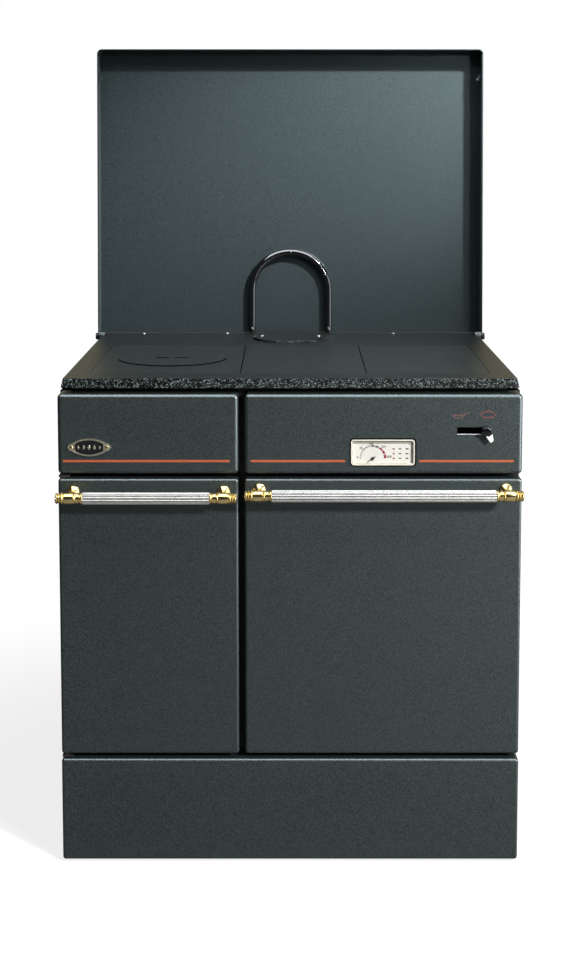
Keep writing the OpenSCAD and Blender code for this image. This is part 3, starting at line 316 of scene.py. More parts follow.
def hob_enamel():
    """Black grit on the rim whose bright flecks are partly light grains and partly painted glints, a
    painted highlight in grey on its slopes, and a finer slate grit on top.
    """
    # The bright flecks, forty times the light grit, are partly painted glints.
    made = granular_material("hob_rim_enamel", (0.001, 0.001, 0.001), (0.004, 0.005, 0.005), 0.36,
                             720, 0.0005, share=0.15, fleck=40, spec=0.08, warp=0.0016)
    # Painted highlight: faces that slope between the rim's front and its top are grey.
    by_facing(made, "Z", 0.35, 0.60, {"Base Color": (0.16, 0.17, 0.18)})
    return by_facing(made, "Z", 0.90, 0.97, {"Base Color": (0.009, 0.012, 0.013), "Roughness": 0.36,
                                             "Specular IOR Level": 0.55})


def cast_plate():
    """Gritty slate on the plates' tops; what turns away from the top is painted black, as painted
    shade in the seams and slots.
    """
    made = granular_material("cast_plate_enamel", (0.007, 0.010, 0.011), (0.020, 0.026, 0.028), 0.40,
                             620, 0.00022, share=0.3, fleck=1.9, spec=0.42)
    # Painted shade: faces turned away from the top are black.
    return by_facing(made, "Z", 0.985, 0.90, PAINTED_SHADE)


MAT = {
    "enamel": enamel_material("slate_enamel", *SLATE),
    "lid_enamel": lid_enamel(),
    "hob_enamel": hob_enamel(),
    "cast_plate": cast_plate(),
    "tube_black": plain_material("gloss_black_tube", (0.005, 0.005, 0.006), 0.09, coat=0.8),
    "frame_black": plain_material("matt_black_paint", (0.010, 0.010, 0.011), 0.6, depth=0.0001),
    "cast_inner": plain_material("raw_cast_iron", (0.05, 0.048, 0.046), 0.75, 500, 0.0004,
                                 spread=0.3),
    "steel": metal_material("zinc_steel", (0.55, 0.56, 0.58), 0.34),
    "oven_steel": granular_material("oven_speckle", (0.012, 0.012, 0.015), (0.04, 0.042, 0.05),
                                    0.35, 600, 0.0001),
    "bright_steel": metal_material("bright_wire", (0.75, 0.74, 0.72), 0.22),
    "nickel": metal_material("polished_nickel", (0.82, 0.80, 0.77), 0.26, wear=0.005, metal=0.85),
    "brass": metal_material("polished_brass", (0.90, 0.71, 0.33), 0.15, wear=0.03),
    "badge_metal": metal_material("badge_metal", (0.86, 0.81, 0.66), 0.30),
    "bezel_plastic": plain_material("cream_bezel", (0.66, 0.63, 0.53), 0.35, coat=0.2, spread=0.03),
    "dial_print": plain_material("dial_card", (0.76, 0.74, 0.68), 0.45, spread=0.03),
    "needle_black": plain_material("needle_black", (0.01, 0.01, 0.01), 0.4),
    "knob_black": plain_material("knob_black", (0.005, 0.005, 0.006), 0.10),
    "tip_light": plain_material("tip_light_grey", (0.72, 0.74, 0.72), 0.3, coat=0.2, spread=0.04),
    "glass": glass_material(),
    "firebrick": brick_material(),
    "rope": rope_material(),
}
RED_LINE = plain_material("red_line", (0.40, 0.090, 0.034), 0.45, spread=0.05)
RED_INK = plain_material("red_ink", (0.30, 0.030, 0.035), 0.4, spread=0.05)
DIM_INK = plain_material("dim_ink", (0.20, 0.075, 0.075), 0.45, spread=0.1)
RED_SYMBOL = plain_material("red_symbol", (0.30, 0.060, 0.060), 0.45, spread=0.1)
BLACK_INK = plain_material("black_ink", (0.012, 0.012, 0.012), 0.45, spread=0.1)
# Painted shade for the grooves between the rails' reeds.
GROOVE_SHADE = plain_material("tarnished_groove", (0.03, 0.028, 0.026), 0.6)
DARK_SCREW = metal_material("dark_screw", (0.16, 0.16, 0.17), 0.24)
BADGE_FIELD = plain_material("badge_field", (0.006, 0.006, 0.007), 0.18, coat=0.5)


# MESH HELPERS

def edit_mesh(mesh, work):
    """Runs `work` on an editable copy of a mesh and writes the result back."""
    bm = bmesh.new()
    bm.from_mesh(mesh)
    work(bm)
    bm.to_mesh(mesh)
    bm.free()


def face_out(bm):
    bmesh.ops.recalc_face_normals(bm, faces=bm.faces)


def weld(bm):
    bmesh.ops.remove_doubles(bm, verts=bm.verts, dist=1e-6)
    face_out(bm)


def merge_flat(bm):
    bmesh.ops.dissolve_limit(bm, angle_limit=math.radians(2), verts=bm.verts, edges=bm.edges)


def add_mesh(name, verts, faces, slot, body, material=None, smooth=35.0, replaces=()):
    """Makes a piece from points and faces, shades it by angle and hangs it on its body."""
    mesh = bpy.data.meshes.new(name)
    mesh.from_pydata([tuple(v) for v in verts], [], faces)
    mesh.validate()
    edit_mesh(mesh, weld)
    piece = new_object(name, mesh)
    piece.data.materials.append(material or MAT[slot])
    mesh.shade_smooth()
    mesh.set_sharp_from_angle(angle=math.radians(smooth))
    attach(piece, body)
    if replaces:
        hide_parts(*replaces)
    return piece


def weighted(piece):
    """Keeps flat faces flat in the shading next to rounded edges."""
    made = piece.modifiers.new("flat_faces", "WEIGHTED_NORMAL")
    made.keep_sharp = True
    made.weight = 100
    return piece


def bevel(piece, width, segments=2, angle=40.0):
    """Rounds the edges that turn by more than `angle` degrees."""
    made = piece.modifiers.new("edge", "BEVEL")
    made.width = width
    made.segments = segments
    made.limit_method = "ANGLE"
    made.angle_limit = math.radians(angle)
    made.harden_normals = True
    return piece


def loops_to_faces(rings, joined=False, caps=(True, True)):
    """Faces between rings of points of equal length; `joined` also joins the last ring to the
    first, and `caps` closes the first and the last one."""
    count = len(rings[0])
    verts = [p for ring in rings for p in ring]
    faces = []
    for k in range(len(rings) - (0 if joined else 1)):
        nxt = (k + 1) % len(rings)
        for i in range(count):
            j = (i + 1) % count
            faces.append((k * count + i, k * count + j, nxt * count + j, nxt * count + i))
    if caps[0]:
        faces.append(tuple(range(count - 1, -1, -1)))
    if caps[1]:
        last = (len(rings) - 1) * count
        faces.append(tuple(last + i for i in range(count)))
    return verts, faces


def corner_loop(x0, x1, z0, z1, y, radius, steps=8):
    """Rounded rectangle in the front view at depth y, counter-clockwise from the lower right."""
    points = []
    centres = [(x1 - radius, z0 + radius, -90), (x1 - radius, z1 - radius, 0),
               (x0 + radius, z1 - radius, 90), (x0 + radius, z0 + radius, 180)]
    for cx, cz, start in centres:
        for k in range(steps + 1):
            a = math.radians(start + 90 * k / steps)
            points.append(Vector((cx + radius * math.cos(a), y, cz + radius * math.sin(a))))
    return points


def cut_away(piece, cutters):
    """Subtracts closed meshes from a piece and keeps the result in its mesh."""
    for cutter in cutters:
        made = piece.modifiers.new("cut", "BOOLEAN")
        made.operation = "DIFFERENCE"
        made.solver = "EXACT"
        made.object = cutter
        with bpy.context.temp_override(object=piece, active_object=piece):
            bpy.ops.object.modifier_apply(modifier=made.name)
        bpy.data.objects.remove(cutter)
    return piece


def cutter_from_loops(*loops):
    """Closed mesh between two loops, to cut a hole with."""
    verts, faces = loops_to_faces(loops)
    mesh = bpy.data.meshes.new("cutter")
    mesh.from_pydata(verts, [], faces)
    edit_mesh(mesh, face_out)
    return new_object("cutter", mesh)


def front_hole(x0, x1, z0, z1, radius):
    """Cutter for a hole with round corners through a sheet front."""
    return cutter_from_loops(corner_loop(x0, x1, z0, z1, FACE_Y - 0.01, radius),
                             corner_loop(x0, x1, z0, z1, FACE_Y + 0.008, radius))


def box_hole(lo, hi):
    """Cutter for a square hole between two corners."""
    return cutter_from_loops(corner_loop(lo[0], hi[0], lo[2], hi[2], lo[1], 1e-4, 1),
                             corner_loop(lo[0], hi[0], lo[2], hi[2], hi[1], 1e-4, 1))


def pressed_front(node, holes=(), edge_r=EDGE_R):
    """Pressed sheet front with round edges and ball corners, open at the back."""
    lo, hi = BOX[node]
    steps = 7
    rings = []
    for k in range(steps + 1):
        a = math.pi / 2 * k / steps
        out = edge_r * math.sin(a)
        inset = edge_r - out
        rings.append(corner_loop(lo.x + inset, hi.x - inset, lo.z + inset, hi.z - inset,
                                 lo.y + edge_r * (1 - math.cos(a)), max(out, 1e-5)))
    rings.append(corner_loop(lo.x, hi.x, lo.z, hi.z, hi.y, edge_r))
    inner_r = edge_r - SHEET
    inside = (lo.x + SHEET, hi.x - SHEET, lo.z + SHEET, hi.z - SHEET)
    rings.append(corner_loop(*inside, hi.y, inner_r))
    rings.append(corner_loop(*inside, lo.y + SHEET, inner_r))
    piece = add_mesh(node + "_pressed", *loops_to_faces(rings), SLOT[node], BODY[node],
                     smooth=50, replaces=(node,))
    return weighted(cut_away(piece, holes))


def around(count):
    """Angles of even steps around a full turn."""
    return [2 * math.pi * k / count for k in range(count)]


def oval(half_u, half_v, count):
    return [(half_u * math.cos(t), half_v * math.sin(t)) for t in around(count)]


def lathe(name, profile, centre, axis, slot, body, segments=48, material=None, replaces=()):
    """Turned piece: profile is (distance along the axis, radius), around `axis` from `centre`."""
    along = Vector(axis).normalized()
    side = along.orthogonal().normalized()
    up = along.cross(side)
    rings = []
    for place, radius in profile:
        rings.append([Vector(centre) + along * place
                      + (side * math.cos(t) + up * math.sin(t)) * max(radius, 1e-5)
                      for t in around(segments)])
    return add_mesh(name, *loops_to_faces(rings), slot, body, material, 32, replaces)


def sweep(name, path, section, normals, slot, body, material=None, closed=True, smooth=40.0,
          replaces=()):
    """Sweeps a section (u, v) along a path in the front view; u runs along the path's outward
    normal and v along +Y. A closed path ends where it starts."""
    rings = []
    for point, normal in zip(path, normals):
        rings.append([Vector(point) + Vector(normal) * u + Vector((0, v, 0)) for u, v in section])
    verts, faces = loops_to_faces(rings, joined=closed, caps=(not closed, not closed))
    return add_mesh(name, verts, faces, slot, body, material, smooth, replaces)


def loop_normals(path, closed=True):
    """Outward normals of a counter-clockwise path in the front view."""
    count = len(path)
    result = []
    for i in range(count):
        before = path[i - 1] if closed or i else path[i]
        after = path[(i + 1) % count] if closed or i < count - 1 else path[i]
        run = Vector(after) - Vector(before)
        result.append(Vector((run.z, 0, -run.x)).normalized())
    return result


def flat_ribbon(name, points, width, y, thick, material, slot, closed=False):
    """Printed line on the fixed body that follows points in the front view."""
    path = [Vector((x, y, z)) for x, z in points]
    half = width / 2
    section = [(-half, 0), (half, 0), (half, -thick), (-half, -thick)]
    return sweep(name, path, section, loop_normals(path, closed), slot, "stove", material,
                 closed=closed, smooth=20)


def prism(name, outline, y_back, y_front, slot, material=None):
    """Extrudes a front-view outline on the fixed body from y_back forward to y_front."""
    rings = [[Vector((x, y, z)) for x, z in outline] for y in (y_front, y_back)]
    return add_mesh(name, *loops_to_faces(rings), slot, "stove", material, 30)


def arc_points(cx, cz, radius, start, stop, steps):
    """Points on an arc in the front view; angles in degrees, up from the right."""
    return [(cx + radius * math.cos(math.radians(start + (stop - start) * k / steps)),
             cz + radius * math.sin(math.radians(start + (stop - start) * k / steps)))
            for k in range(steps + 1)]


def solids(node):
    """Lowest and highest corner of each group of joined points of a CAD node, from left to right.
    The frame keeps a solid's faces apart, so a screw comes back once for each of its faces."""
    bm = bmesh.new()
    bm.from_mesh(frame["nodes"][node].data)
    left = set(bm.verts)
    found = []
    for start in bm.verts:
        if start not in left:
            continue
        left.remove(start)
        stack = [start]
        group = [start.co.copy()]
        while stack:
            for edge in stack.pop().link_edges:
                for vert in edge.verts:
                    if vert in left:
                        left.remove(vert)
                        stack.append(vert)
                        group.append(vert.co.copy())
        found.append((Vector(min(p[i] for p in group) for i in range(3)),
                      Vector(max(p[i] for p in group) for i in range(3))))
    bm.free()
    return sorted(found, key=lambda pair: (pair[0].x, pair[0].z))


def screw(name, place, axis, head_r, head_h, slot, body, turn=35.0, shank=6 * MM, material=None,
          replaces=()):
    """Round-headed slotted screw; `place` is under its head and `axis` points out of the surface."""
    out = Vector(axis).normalized()
    shank_r = head_r * 0.55
    profile = [(-shank, 0.0), (-shank, shank_r), (0.0, shank_r), (0.0, head_r),
               (head_h * 0.25, head_r)]
    profile += [(head_h * (0.25 + 0.75 * math.sin(math.radians(a))),
                 head_r * math.cos(math.radians(a))) for a in (15, 30, 45, 60, 75)]
    profile.append((head_h, 0.0))
    piece = lathe(name, profile, place, axis, slot, body, 24, material, replaces)
    side = out.orthogonal().normalized()
    up = out.cross(side)
    along = side * math.cos(math.radians(turn)) + up * math.sin(math.radians(turn))
    across = out.cross(along)
    top, bottom = Vector(place) + out * head_h * 1.4, Vector(place) + out * head_h * 0.5
    half_w = max(head_r * 0.13, 0.3 * MM)
    rings = [[centre + along * a * head_r * 1.2 + across * b * half_w
              for a, b in ((1, 1), (-1, 1), (-1, -1), (1, -1))] for centre in (top, bottom)]
    return cut_away(piece, [cutter_from_loops(*rings)])


def lens_outline(width, height, steps=24):
    """Pointed oval around the origin, made of two arcs, counter-clockwise from the right tip."""
    radius = (width ** 2 + height ** 2) / (4 * height)
    reach = math.asin(width / 2 / radius)
    points = []
    for way in (1, -1):
        for k in range(steps):
            a = reach * (1 - 2 * k / steps)
            points.append((way * radius * math.sin(a),
                           way * (radius * math.cos(a) - radius + height / 2)))
    return points


# CARRIED-OVER NODES

SIDE_ENAMEL = side_enamel()
SPECIAL = {"left_side_panel": SIDE_ENAMEL, "right_side_panel": SIDE_ENAMEL,
           "lid_hinge_bolts": plain_material("black_bolt", (0.006, 0.006, 0.006), 0.16)}
for node, piece in frame["nodes"].items():
    piece.data.materials.clear()
    piece.data.materials.append(SPECIAL.get(node, MAT[SLOT[node]]))
    piece.data.shade_smooth()
    piece.data.set_sharp_from_angle(angle=math.radians(35))

# The frame keeps the faces of a solid apart, and a bevel rounds only edges that two faces share.
# Of the carried-over nodes the ash pan alone has such edges, inside one of its CAD faces.
bevel(frame["nodes"]["ash_pan"], 0.5 * MM)


def proud_disc(node, proud, edge):
    """The burner disc with its top a little proud of its plate, so that its near edge shows."""
    mesh = frame["nodes"][node].data
    top = BOX[node][1].z
    verts = [v.co + Vector((0, 0, proud if v.co.z > top - MM else 0)) for v in mesh.vertices]
    faces = [tuple(face.vertices) for face in mesh.polygons]
    piece = add_mesh(node + "_proud", verts, faces, SLOT[node], BODY[node], replaces=(node,))
    edit_mesh(piece.data, merge_flat)
    bevel(piece, edge)


proud_disc("burner_disc", proud=1.8 * MM, edge=2 * MM)


# FRONTS

def middle(node):
    """Middle of a node's box, as plain numbers."""
    return [(low + high) / 2 for low, high in zip(*BOX[node])]


gauge_lo, gauge_hi = BOX["thermometer_bezel"]
GAUGE_RIM = 4 * MM        # hidden flange of the bezel behind the fascia
gauge_x0, gauge_x1 = gauge_lo.x + GAUGE_RIM, gauge_hi.x - GAUGE_RIM
gauge_z0, gauge_z1 = gauge_lo.z + GAUGE_RIM, gauge_hi.z - GAUGE_RIM
lever_x, _, lever_z = middle("damper_lever")
DAMPER_TRAVEL = 45 * MM
SLOT_X0, SLOT_X1 = lever_x - DAMPER_TRAVEL - 5 * MM, lever_x + 5 * MM
SLOT_HALF = 6 * MM
ARM_GAP = 1 * MM

pressed_front("left_fascia", edge_r=FASCIA_R)
pressed_front("right_fascia", [
    front_hole(gauge_x0 - MM, gauge_x1 + MM, gauge_z0 - MM, gauge_z1 + MM, 5 * MM),
    front_hole(SLOT_X0, SLOT_X1, lever_z - SLOT_HALF, lever_z + SLOT_HALF, 2 * MM)], FASCIA_R)
pressed_front("fire_door_skin")
pressed_front("drawer_front")

# Notches for the oven door's hinge arms
arm_lo, arm_hi = BOX["oven_hinge_arms"]
PIN_LEN, ARM_T = 9 * MM, 4 * MM
arm_cuts = []
for arm_x in (arm_lo.x + PIN_LEN + ARM_T / 2, arm_hi.x - PIN_LEN - ARM_T / 2):
    arm_cuts.append(box_hole((arm_x - ARM_T / 2 - ARM_GAP, arm_lo.y - 0.7 * MM, arm_lo.z - 12 * MM),
                             (arm_x + ARM_T / 2 + ARM_GAP, FRAME_Y, arm_hi.z + 4 * MM)))
pressed_front("oven_door_skin", arm_cuts)

# Painted lines across the fascias
LINE_Z, LINE_H, LINE_T = 0.7170, 4 * MM, 0.15 * MM
LINE_SPANS = {"left": (-0.391, -0.1036), "centre": (-0.0677, 0.0948), "right": (0.2223, 0.385)}
for side, span in LINE_SPANS.items():
    flat_ribbon(side + "_red_line", [(x, LINE_Z) for x in span], LINE_H, FACE_Y, LINE_T, RED_LINE,
                "enamel")


# RAILS

def reeded_tube(node, x0, x1, y, z, radius, reeds=12, steps=7):
    """Tube along X whose skin is a ring of half-round reeds; the grooves between them are painted
    dark as painted shade.
    """
    pitch = 2 * math.pi / reeds
    groove, deep = 1.3 * MM / radius, 2.6 * MM    # angle across a groove, and its depth
    crown = 1.6 * MM                              # height of a reed's round face
    section = []
    for reed in range(reeds):
        for k in range(steps + 1):
            share = k / steps
            a = (reed + share * (1 - groove / pitch)) * pitch
            r = radius - crown * (2 * share - 1) ** 2
            section.append((r * math.cos(a), r * math.sin(a)))
        for a in ((reed + 1) * pitch - groove, (reed + 1) * pitch):
            section.append(((radius - deep) * math.cos(a), (radius - deep) * math.sin(a)))
    rings = [[Vector((x, y + v, z + w)) for v, w in section]
             for x in (x0, x0 + (x1 - x0) / 3, x0 + (x1 - x0) * 2 / 3, x1)]
    piece = add_mesh(node + "_reeded", *loops_to_faces(rings), SLOT[node], BODY[node], smooth=40,
                     replaces=(node,))
    piece.data.materials.append(GROOVE_SHADE)
    inner = radius - (crown + deep) / 2
    # Painted shade: faces deep in the grooves get the dark second material.
    for face in piece.data.polygons:
        out = (face.center - Vector((face.center.x, y, z))).length
        if out < inner and abs(face.normal.x) < 0.5:
            face.material_index = 1


def bead(start, length, inset, sag, steps=6):
    """Profile points of a round bead between two grooves, in millimetres."""
    return [(start + length * k / steps, inset + sag * (1 - math.sin(math.pi * k / steps)))
            for k in range(steps + 1)]


# Turned end fitting from its rounded nose to the rail: millimetres along it and below its radius
FITTING = [(0.1, 5.0), (0.5, 3.2), *bead(0.6, 4.2, 1.3, 1.6), (5.4, 4.0), *bead(5.7, 2.6, 0.8, 1.3),
           (9.2, 3.9), *bead(9.8, 4.2, 0, 1.6), (14.5, 2.1), (15.4, 0.9), (16.2, 0.7), (30.0, 0.7),
           (30.8, 0.9), (31.1, 1.9), *bead(31.5, 3.0, 0.1, 1.2), (35.0, 2.2), (35.6, 1.6),
           (40.6, 1.6), (41.2, 2.2), (41.6, 3.1), (42.4, 3.1), *bead(42.8, 4.0, 0.5, 1.3),
           (47, 3.5)]
# Post and its rosette: millimetres short of the door's face, and radius
POST_INSET, POST_R, ROSETTE_R = 24.5 * MM, 5.5, 11
POST = [(9.5, POST_R), (9.0, POST_R + 0.6), (8.0, POST_R + 1.4), (7.0, ROSETTE_R - 4.2),
        (5.6, ROSETTE_R - 2.2), (4.2, ROSETTE_R - 1.0), (3.2, ROSETTE_R - 0.9),
        (2.8, ROSETTE_R - 0.3), (2.0, ROSETTE_R), (0.0, ROSETTE_R)]


def rail(prefix, body):
    """Reeded tube, two turned end fittings and their posts and rosettes."""
    tube_lo, tube_hi = BOX[prefix + "_tube"]
    lo, hi = BOX[prefix + "_fittings"]
    _, y, z = middle(prefix + "_tube")
    radius = tube_hi.z - z
    reeded_tube(prefix + "_tube", tube_lo.x, tube_hi.x, y, z, radius)
    ring_r = radius + 0.3 * MM
    reach = FACE_Y - y
    nose = [(0, 0)] + [(along * MM, ring_r - inset * MM) for along, inset in FITTING]
    post = [(0, 0), (0, POST_R * MM)] + [(reach - short * MM, r * MM) for short, r in POST]
    for end, x, way in (("left", lo.x, 1), ("right", hi.x, -1)):
        lathe(f"{prefix}_{end}_fitting", nose + [(nose[-1][0], 0)], (x, y, z), (way, 0, 0), "brass",
              body, 56, replaces=(prefix + "_fittings",) if end == "left" else ())
        lathe(f"{prefix}_{end}_post", post + [(reach, 0)], (x + way * POST_INSET, y, z), (0, 1, 0),
              "brass", body)


rail("fire_rail", "fire_door")
rail("oven_rail", "oven_door")


# LID: bent tube around the flue notch, with its screws

LID_LEAN = math.radians(3.8)
LID_PIVOT = PIVOT["lid_hinge"]
LID_DEPTH, LID_T, LID_FOOT = 40 * MM, 1.5 * MM, 5.7 * MM
ARCH_HALF, ARCH_H, TUBE_R = 80 * MM, 175 * MM, 8 * MM
STUD_UP = 14 * MM
TUBE_Y = LID_DEPTH - 2 * MM - TUBE_R


def lid_point(x, y, z):
    """Point given in the upright lid's own axes: across, back from the pivot, up."""
    c, s = math.cos(LID_LEAN), math.sin(LID_LEAN)
    return Vector((x, LID_PIVOT.y + y * c + z * s, LID_PIVOT.z - y * s + z * c))


LID_FRONT = lid_point(0, -1, 0) - lid_point(0, 0, 0)


def arch_tube():
    """Bent tube with rounded ends, its three studs and their screws."""
    spring = ARCH_H - ARCH_HALF
    foot = LID_FOOT + 3 * MM
    rounding = 1.2 * MM
    centre_line = [(ARCH_HALF, foot), (ARCH_HALF, (foot + spring) / 2)]
    centre_line += arc_points(0, spring, ARCH_HALF, 0, 180, 48)
    centre_line += [(-ARCH_HALF, (foot + spring) / 2), (-ARCH_HALF, foot)]
    last = len(centre_line) - 1
    ends = {0: ((0.8, 0.0), (1.0, rounding)), last: ((1.0, -rounding), (0.8, 0.0))}
    rings = []
    for i, (x, z) in enumerate(centre_line):
        x0, z0 = centre_line[max(i - 1, 0)]
        x1, z1 = centre_line[min(i + 1, last)]
        run = Vector((x1 - x0, 0, z1 - z0)).normalized()
        out = Vector((run.z, 0, -run.x))
        for shrink, back in ends.get(i, ((1.0, 0.0),)):
            rings.append([lid_point(x + back * run.x + u * out.x, TUBE_Y + v,
                                    z + back * run.z + u * out.z)
                          for u, v in oval(shrink * TUBE_R, shrink * TUBE_R, 28)])
    add_mesh("lid_arch_bent_tube", *loops_to_faces(rings), "tube_black", "lid", smooth=50,
             replaces=("lid_arch_tube",))
    behind = LID_DEPTH - TUBE_Y
    tip = behind + 2 * LID_T + 5 * MM
    for name, x, z in (("left", -ARCH_HALF, STUD_UP), ("right", ARCH_HALF, STUD_UP),
                       ("top", 0, ARCH_H)):
        lathe(f"lid_arch_{name}_stud", [
            (0, 0), (0, 6 * MM), (behind, 6 * MM), (behind, 3 * MM), (tip - 0.4 * MM, 3 * MM),
            (tip, 2.6 * MM), (tip, 0)], lid_point(x, TUBE_Y, z), -LID_FRONT, "tube_black", "lid", 24)
        screw(f"lid_arch_{name}_screw", lid_point(x, TUBE_Y - TUBE_R + 0.6 * MM, z), LID_FRONT,
              3.6 * MM, 2.0 * MM, "tube_black", "lid", 70, 4 * MM, DARK_SCREW)


arch_tube()


# HOB: slotted screws

def surface_screws(node, surface_z):
    for i, (lo, hi) in enumerate(solids(node)):
        place = ((lo.x + hi.x) / 2, (lo.y + hi.y) / 2, surface_z)
        screw(f"{node}_{i + 1}", place, (0, 0, 1), (hi.x - lo.x) / 2, hi.z - surface_z, "steel",
              "stove", 20 + 47 * i, 10 * MM, replaces=(node,) if i == 0 else ())


surface_screws("hob_screws", HOB_Z)
surface_screws("flue_cover_screws", BOX["flue_cover"][1].z)


# REAR: screws that hold the back panel and the door liners

def rear_screws(node, inset, columns, rows, head_h):
    """Screws around the edge of a sheet's rear face; columns and rows are shares of its size."""
    lo, hi = BOX[node]
    x0, x1, z0, z1 = lo.x + inset, hi.x - inset, lo.z + inset, hi.z - inset
    count = 0
    for row in rows:
        for column in columns:
            if row in (0, 1) or column in (0, 1):
                count += 1
                place = (x0 + (x1 - x0) * column, hi.y, z0 + (z1 - z0) * row)
                screw(f"{node}_screw_{count}", place, (0, 1, 0), 3.4 * MM, head_h, "steel",
                      BODY[node], 30 + 50 * count, 1 * MM, DARK_SCREW)


rear_screws("back_panel", 10 * MM, (0, 0.33, 0.67, 1), (0, 0.5, 1), 1.6 * MM)
for liner, seal in (("fire_door_liner", "fire_door_seal"), ("oven_door_liner", "oven_door_seal")):
    room = BOX[seal][1].y - BOX[liner][1].y
    rear_screws(liner, 9 * MM, (0, 1), (0, 0.5, 1), min(1.4 * MM, max(room * 0.4, 0.5 * MM)))


# BADGE: oval plate with a dark field and five raised lozenges

def badge():
    lo, hi = BOX["badge_plate"]
    cx, front, cz = middle("badge_plate")[0], lo.y, middle("badge_plate")[2]
    width, height = hi.x - lo.x, hi.z - lo.z
    # Field: a pointed oval whose tips are cut off by the two screws
    field_half = width * 0.32 - 0.2 * MM
    outline = []
    for x, z in lens_outline(width - 11.4 * MM, height - 5.4 * MM, 40):
        point = (cx + max(-field_half, min(field_half, x)), cz + z)
        if not outline or point != outline[-1]:
            outline.append(point)
    prism("badge_field", outline, front + 0.8 * MM, front + 0.45 * MM, "badge_metal", BADGE_FIELD)
    pitch, tall, wide = 9.2 * MM, 10 * MM, 5.4 * MM
    for i in range(-2, 3):
        scale = 1 - 0.12 * abs(i)
        points = [(wide / 2, 0), (0, tall / 2), (-wide / 2, 0), (0, -tall / 2)]
        lozenge = [(cx + i * pitch + x * scale, cz + z * scale) for x, z in points]
        bevel(prism(f"badge_lozenge_{i + 3}", lozenge, front + 0.6 * MM, front - 0.1 * MM,
                    "badge_metal"), 0.35 * MM, angle=50)
    # Raised line around the field
    ring = lens_outline(width - 5 * MM, height - 3 * MM, 48)
    flat_ribbon("badge_rim_line", [(cx + x, cz + z) for x, z in ring], 0.8 * MM,
                front, 0.35 * MM, MAT["badge_metal"], "badge_metal", closed=True)
    for i, (slo, shi) in enumerate(solids("badge_screws")):
        screw(f"badge_screw_{i + 1}", ((slo.x + shi.x) / 2, front, (slo.z + shi.z) / 2), (0, -1, 0),
              (shi.x - slo.x) / 2, front - slo.y, "brass", "stove", 25 + 60 * i, 5 * MM,
              replaces=("badge_screws",) if i == 0 else ())


badge()


# THERMOMETER: printed dial, needle cap

def printed_number(name, text, x, z, y, size):
    """Small bold numeral on the dial, centred on (x, z)."""
    curve = bpy.data.curves.new(name, "FONT")
    curve.body = text
    curve.size = size
    curve.align_x = "CENTER"
    curve.align_y = "CENTER"
    curve.extrude = 0.05 * MM
    curve.offset = 0.12 * MM
    made = new_object(name + "_text", curve)
    bpy.context.view_layer.update()
    mesh = bpy.data.meshes.new_from_object(made.evaluated_get(bpy.context.evaluated_depsgraph_get()))
    bpy.data.objects.remove(made)
    verts = [(x + v.co.x, y - v.co.z, z + v.co.y) for v in mesh.vertices]
    faces = [tuple(face.vertices) for face in mesh.polygons]
    add_mesh(name, verts, faces, "dial_print", "stove", BLACK_INK, 20)


# Numbers on the dial: text, angle in degrees and distance from the needle's pivot in millimetres
DIAL_NUMBERS = (("0", 177, 26.5), ("75", 139, 27), ("150", 97, 25.6), ("225", 48, 27.5),
                ("300", 5, 28.5))
# Columns of marks beside the scale: place and length in millimetres, weight and ink
DIAL_KEYS = ((36, 3.4, 2.6, RED_INK), (47, 4.6, 1.9, BLACK_INK), (59, 5.0, 1.9, BLACK_INK))
INK_T = 0.12 * MM


def thermometer():
    y = BOX["thermometer_dial"][0].y
    cx, cz = PIVOT["needle_turn"].x, PIVOT["needle_turn"].z
    radius = 22 * MM

    def arc(name, r, start, stop, width, material):
        flat_ribbon(name, [(cx + px, cz + pz) for px, pz in arc_points(0, 0, r, start, stop, 10)],
                    width, y, INK_T, material, "dial_print")

    arc("dial_scale_low", radius, 180, 140, 0.7 * MM, BLACK_INK)
    arc("dial_scale_mid", radius, 140, 100, 1.2 * MM, BLACK_INK)
    for i in range(5):
        start = 98 - 20 * i
        arc(f"dial_hot_{i + 1}", radius - 0.4 * MM, start, start - 16.5, (2.2 + 0.5 * i) * MM,
            RED_INK if i > 1 else BLACK_INK)
    for i in range(13):
        a = math.radians(180 - 15 * i)
        inner, outer = radius - 3.2 * MM, radius - (1.8 if i % 3 else 0.6) * MM
        flat_ribbon(f"dial_tick_{i + 1}", [(cx + inner * math.cos(a), cz + inner * math.sin(a)),
                                           (cx + outer * math.cos(a), cz + outer * math.sin(a))],
                    0.45 * MM, y, INK_T, BLACK_INK, "dial_print")
    # Painted shadow: a black ring round the bezel, reaching further out on the right, stands for the
    # shade in the gap around it.
    seal = corner_loop(gauge_x0 - 1.2 * MM, gauge_x1 + 1.9 * MM, gauge_z0 - 1.2 * MM,
                       gauge_z1 + 1.3 * MM, 0, 5.5 * MM)
    flat_ribbon("thermometer_seal", [(p.x, p.z) for p in seal], 2.6 * MM, FACE_Y, 0.4 * MM,
                MAT["knob_black"], "bezel_plastic", closed=True)
    for text, angle, r in DIAL_NUMBERS:
        a = math.radians(angle)
        printed_number("dial_number_" + text, text, cx + r * MM * math.cos(a),
                       cz + r * MM * math.sin(a), y, 5.4 * MM)
    for row in range(3):
        z = cz + (16.4 - 8.3 * row) * MM
        for column, (x, w, weight, ink) in enumerate(DIAL_KEYS):
            flat_ribbon(f"dial_key_{row + 1}_{column + 1}",
                        [(cx + (x - w / 2) * MM, z), (cx + (x + w / 2) * MM, z)],
                        weight * MM, y, INK_T, ink, "dial_print")
    lathe("needle_cap", [(0, 0), (0, 2.6 * MM), (0.5 * MM, 2.6 * MM), (0.9 * MM, 2.1 * MM),
                         (1.1 * MM, 1.0 * MM), (1.15 * MM, 0)],
          (cx, BOX["thermometer_needle"][0].y + 0.4 * MM, cz), (0, -1, 0), "needle_black", "needle",
          24)


thermometer()
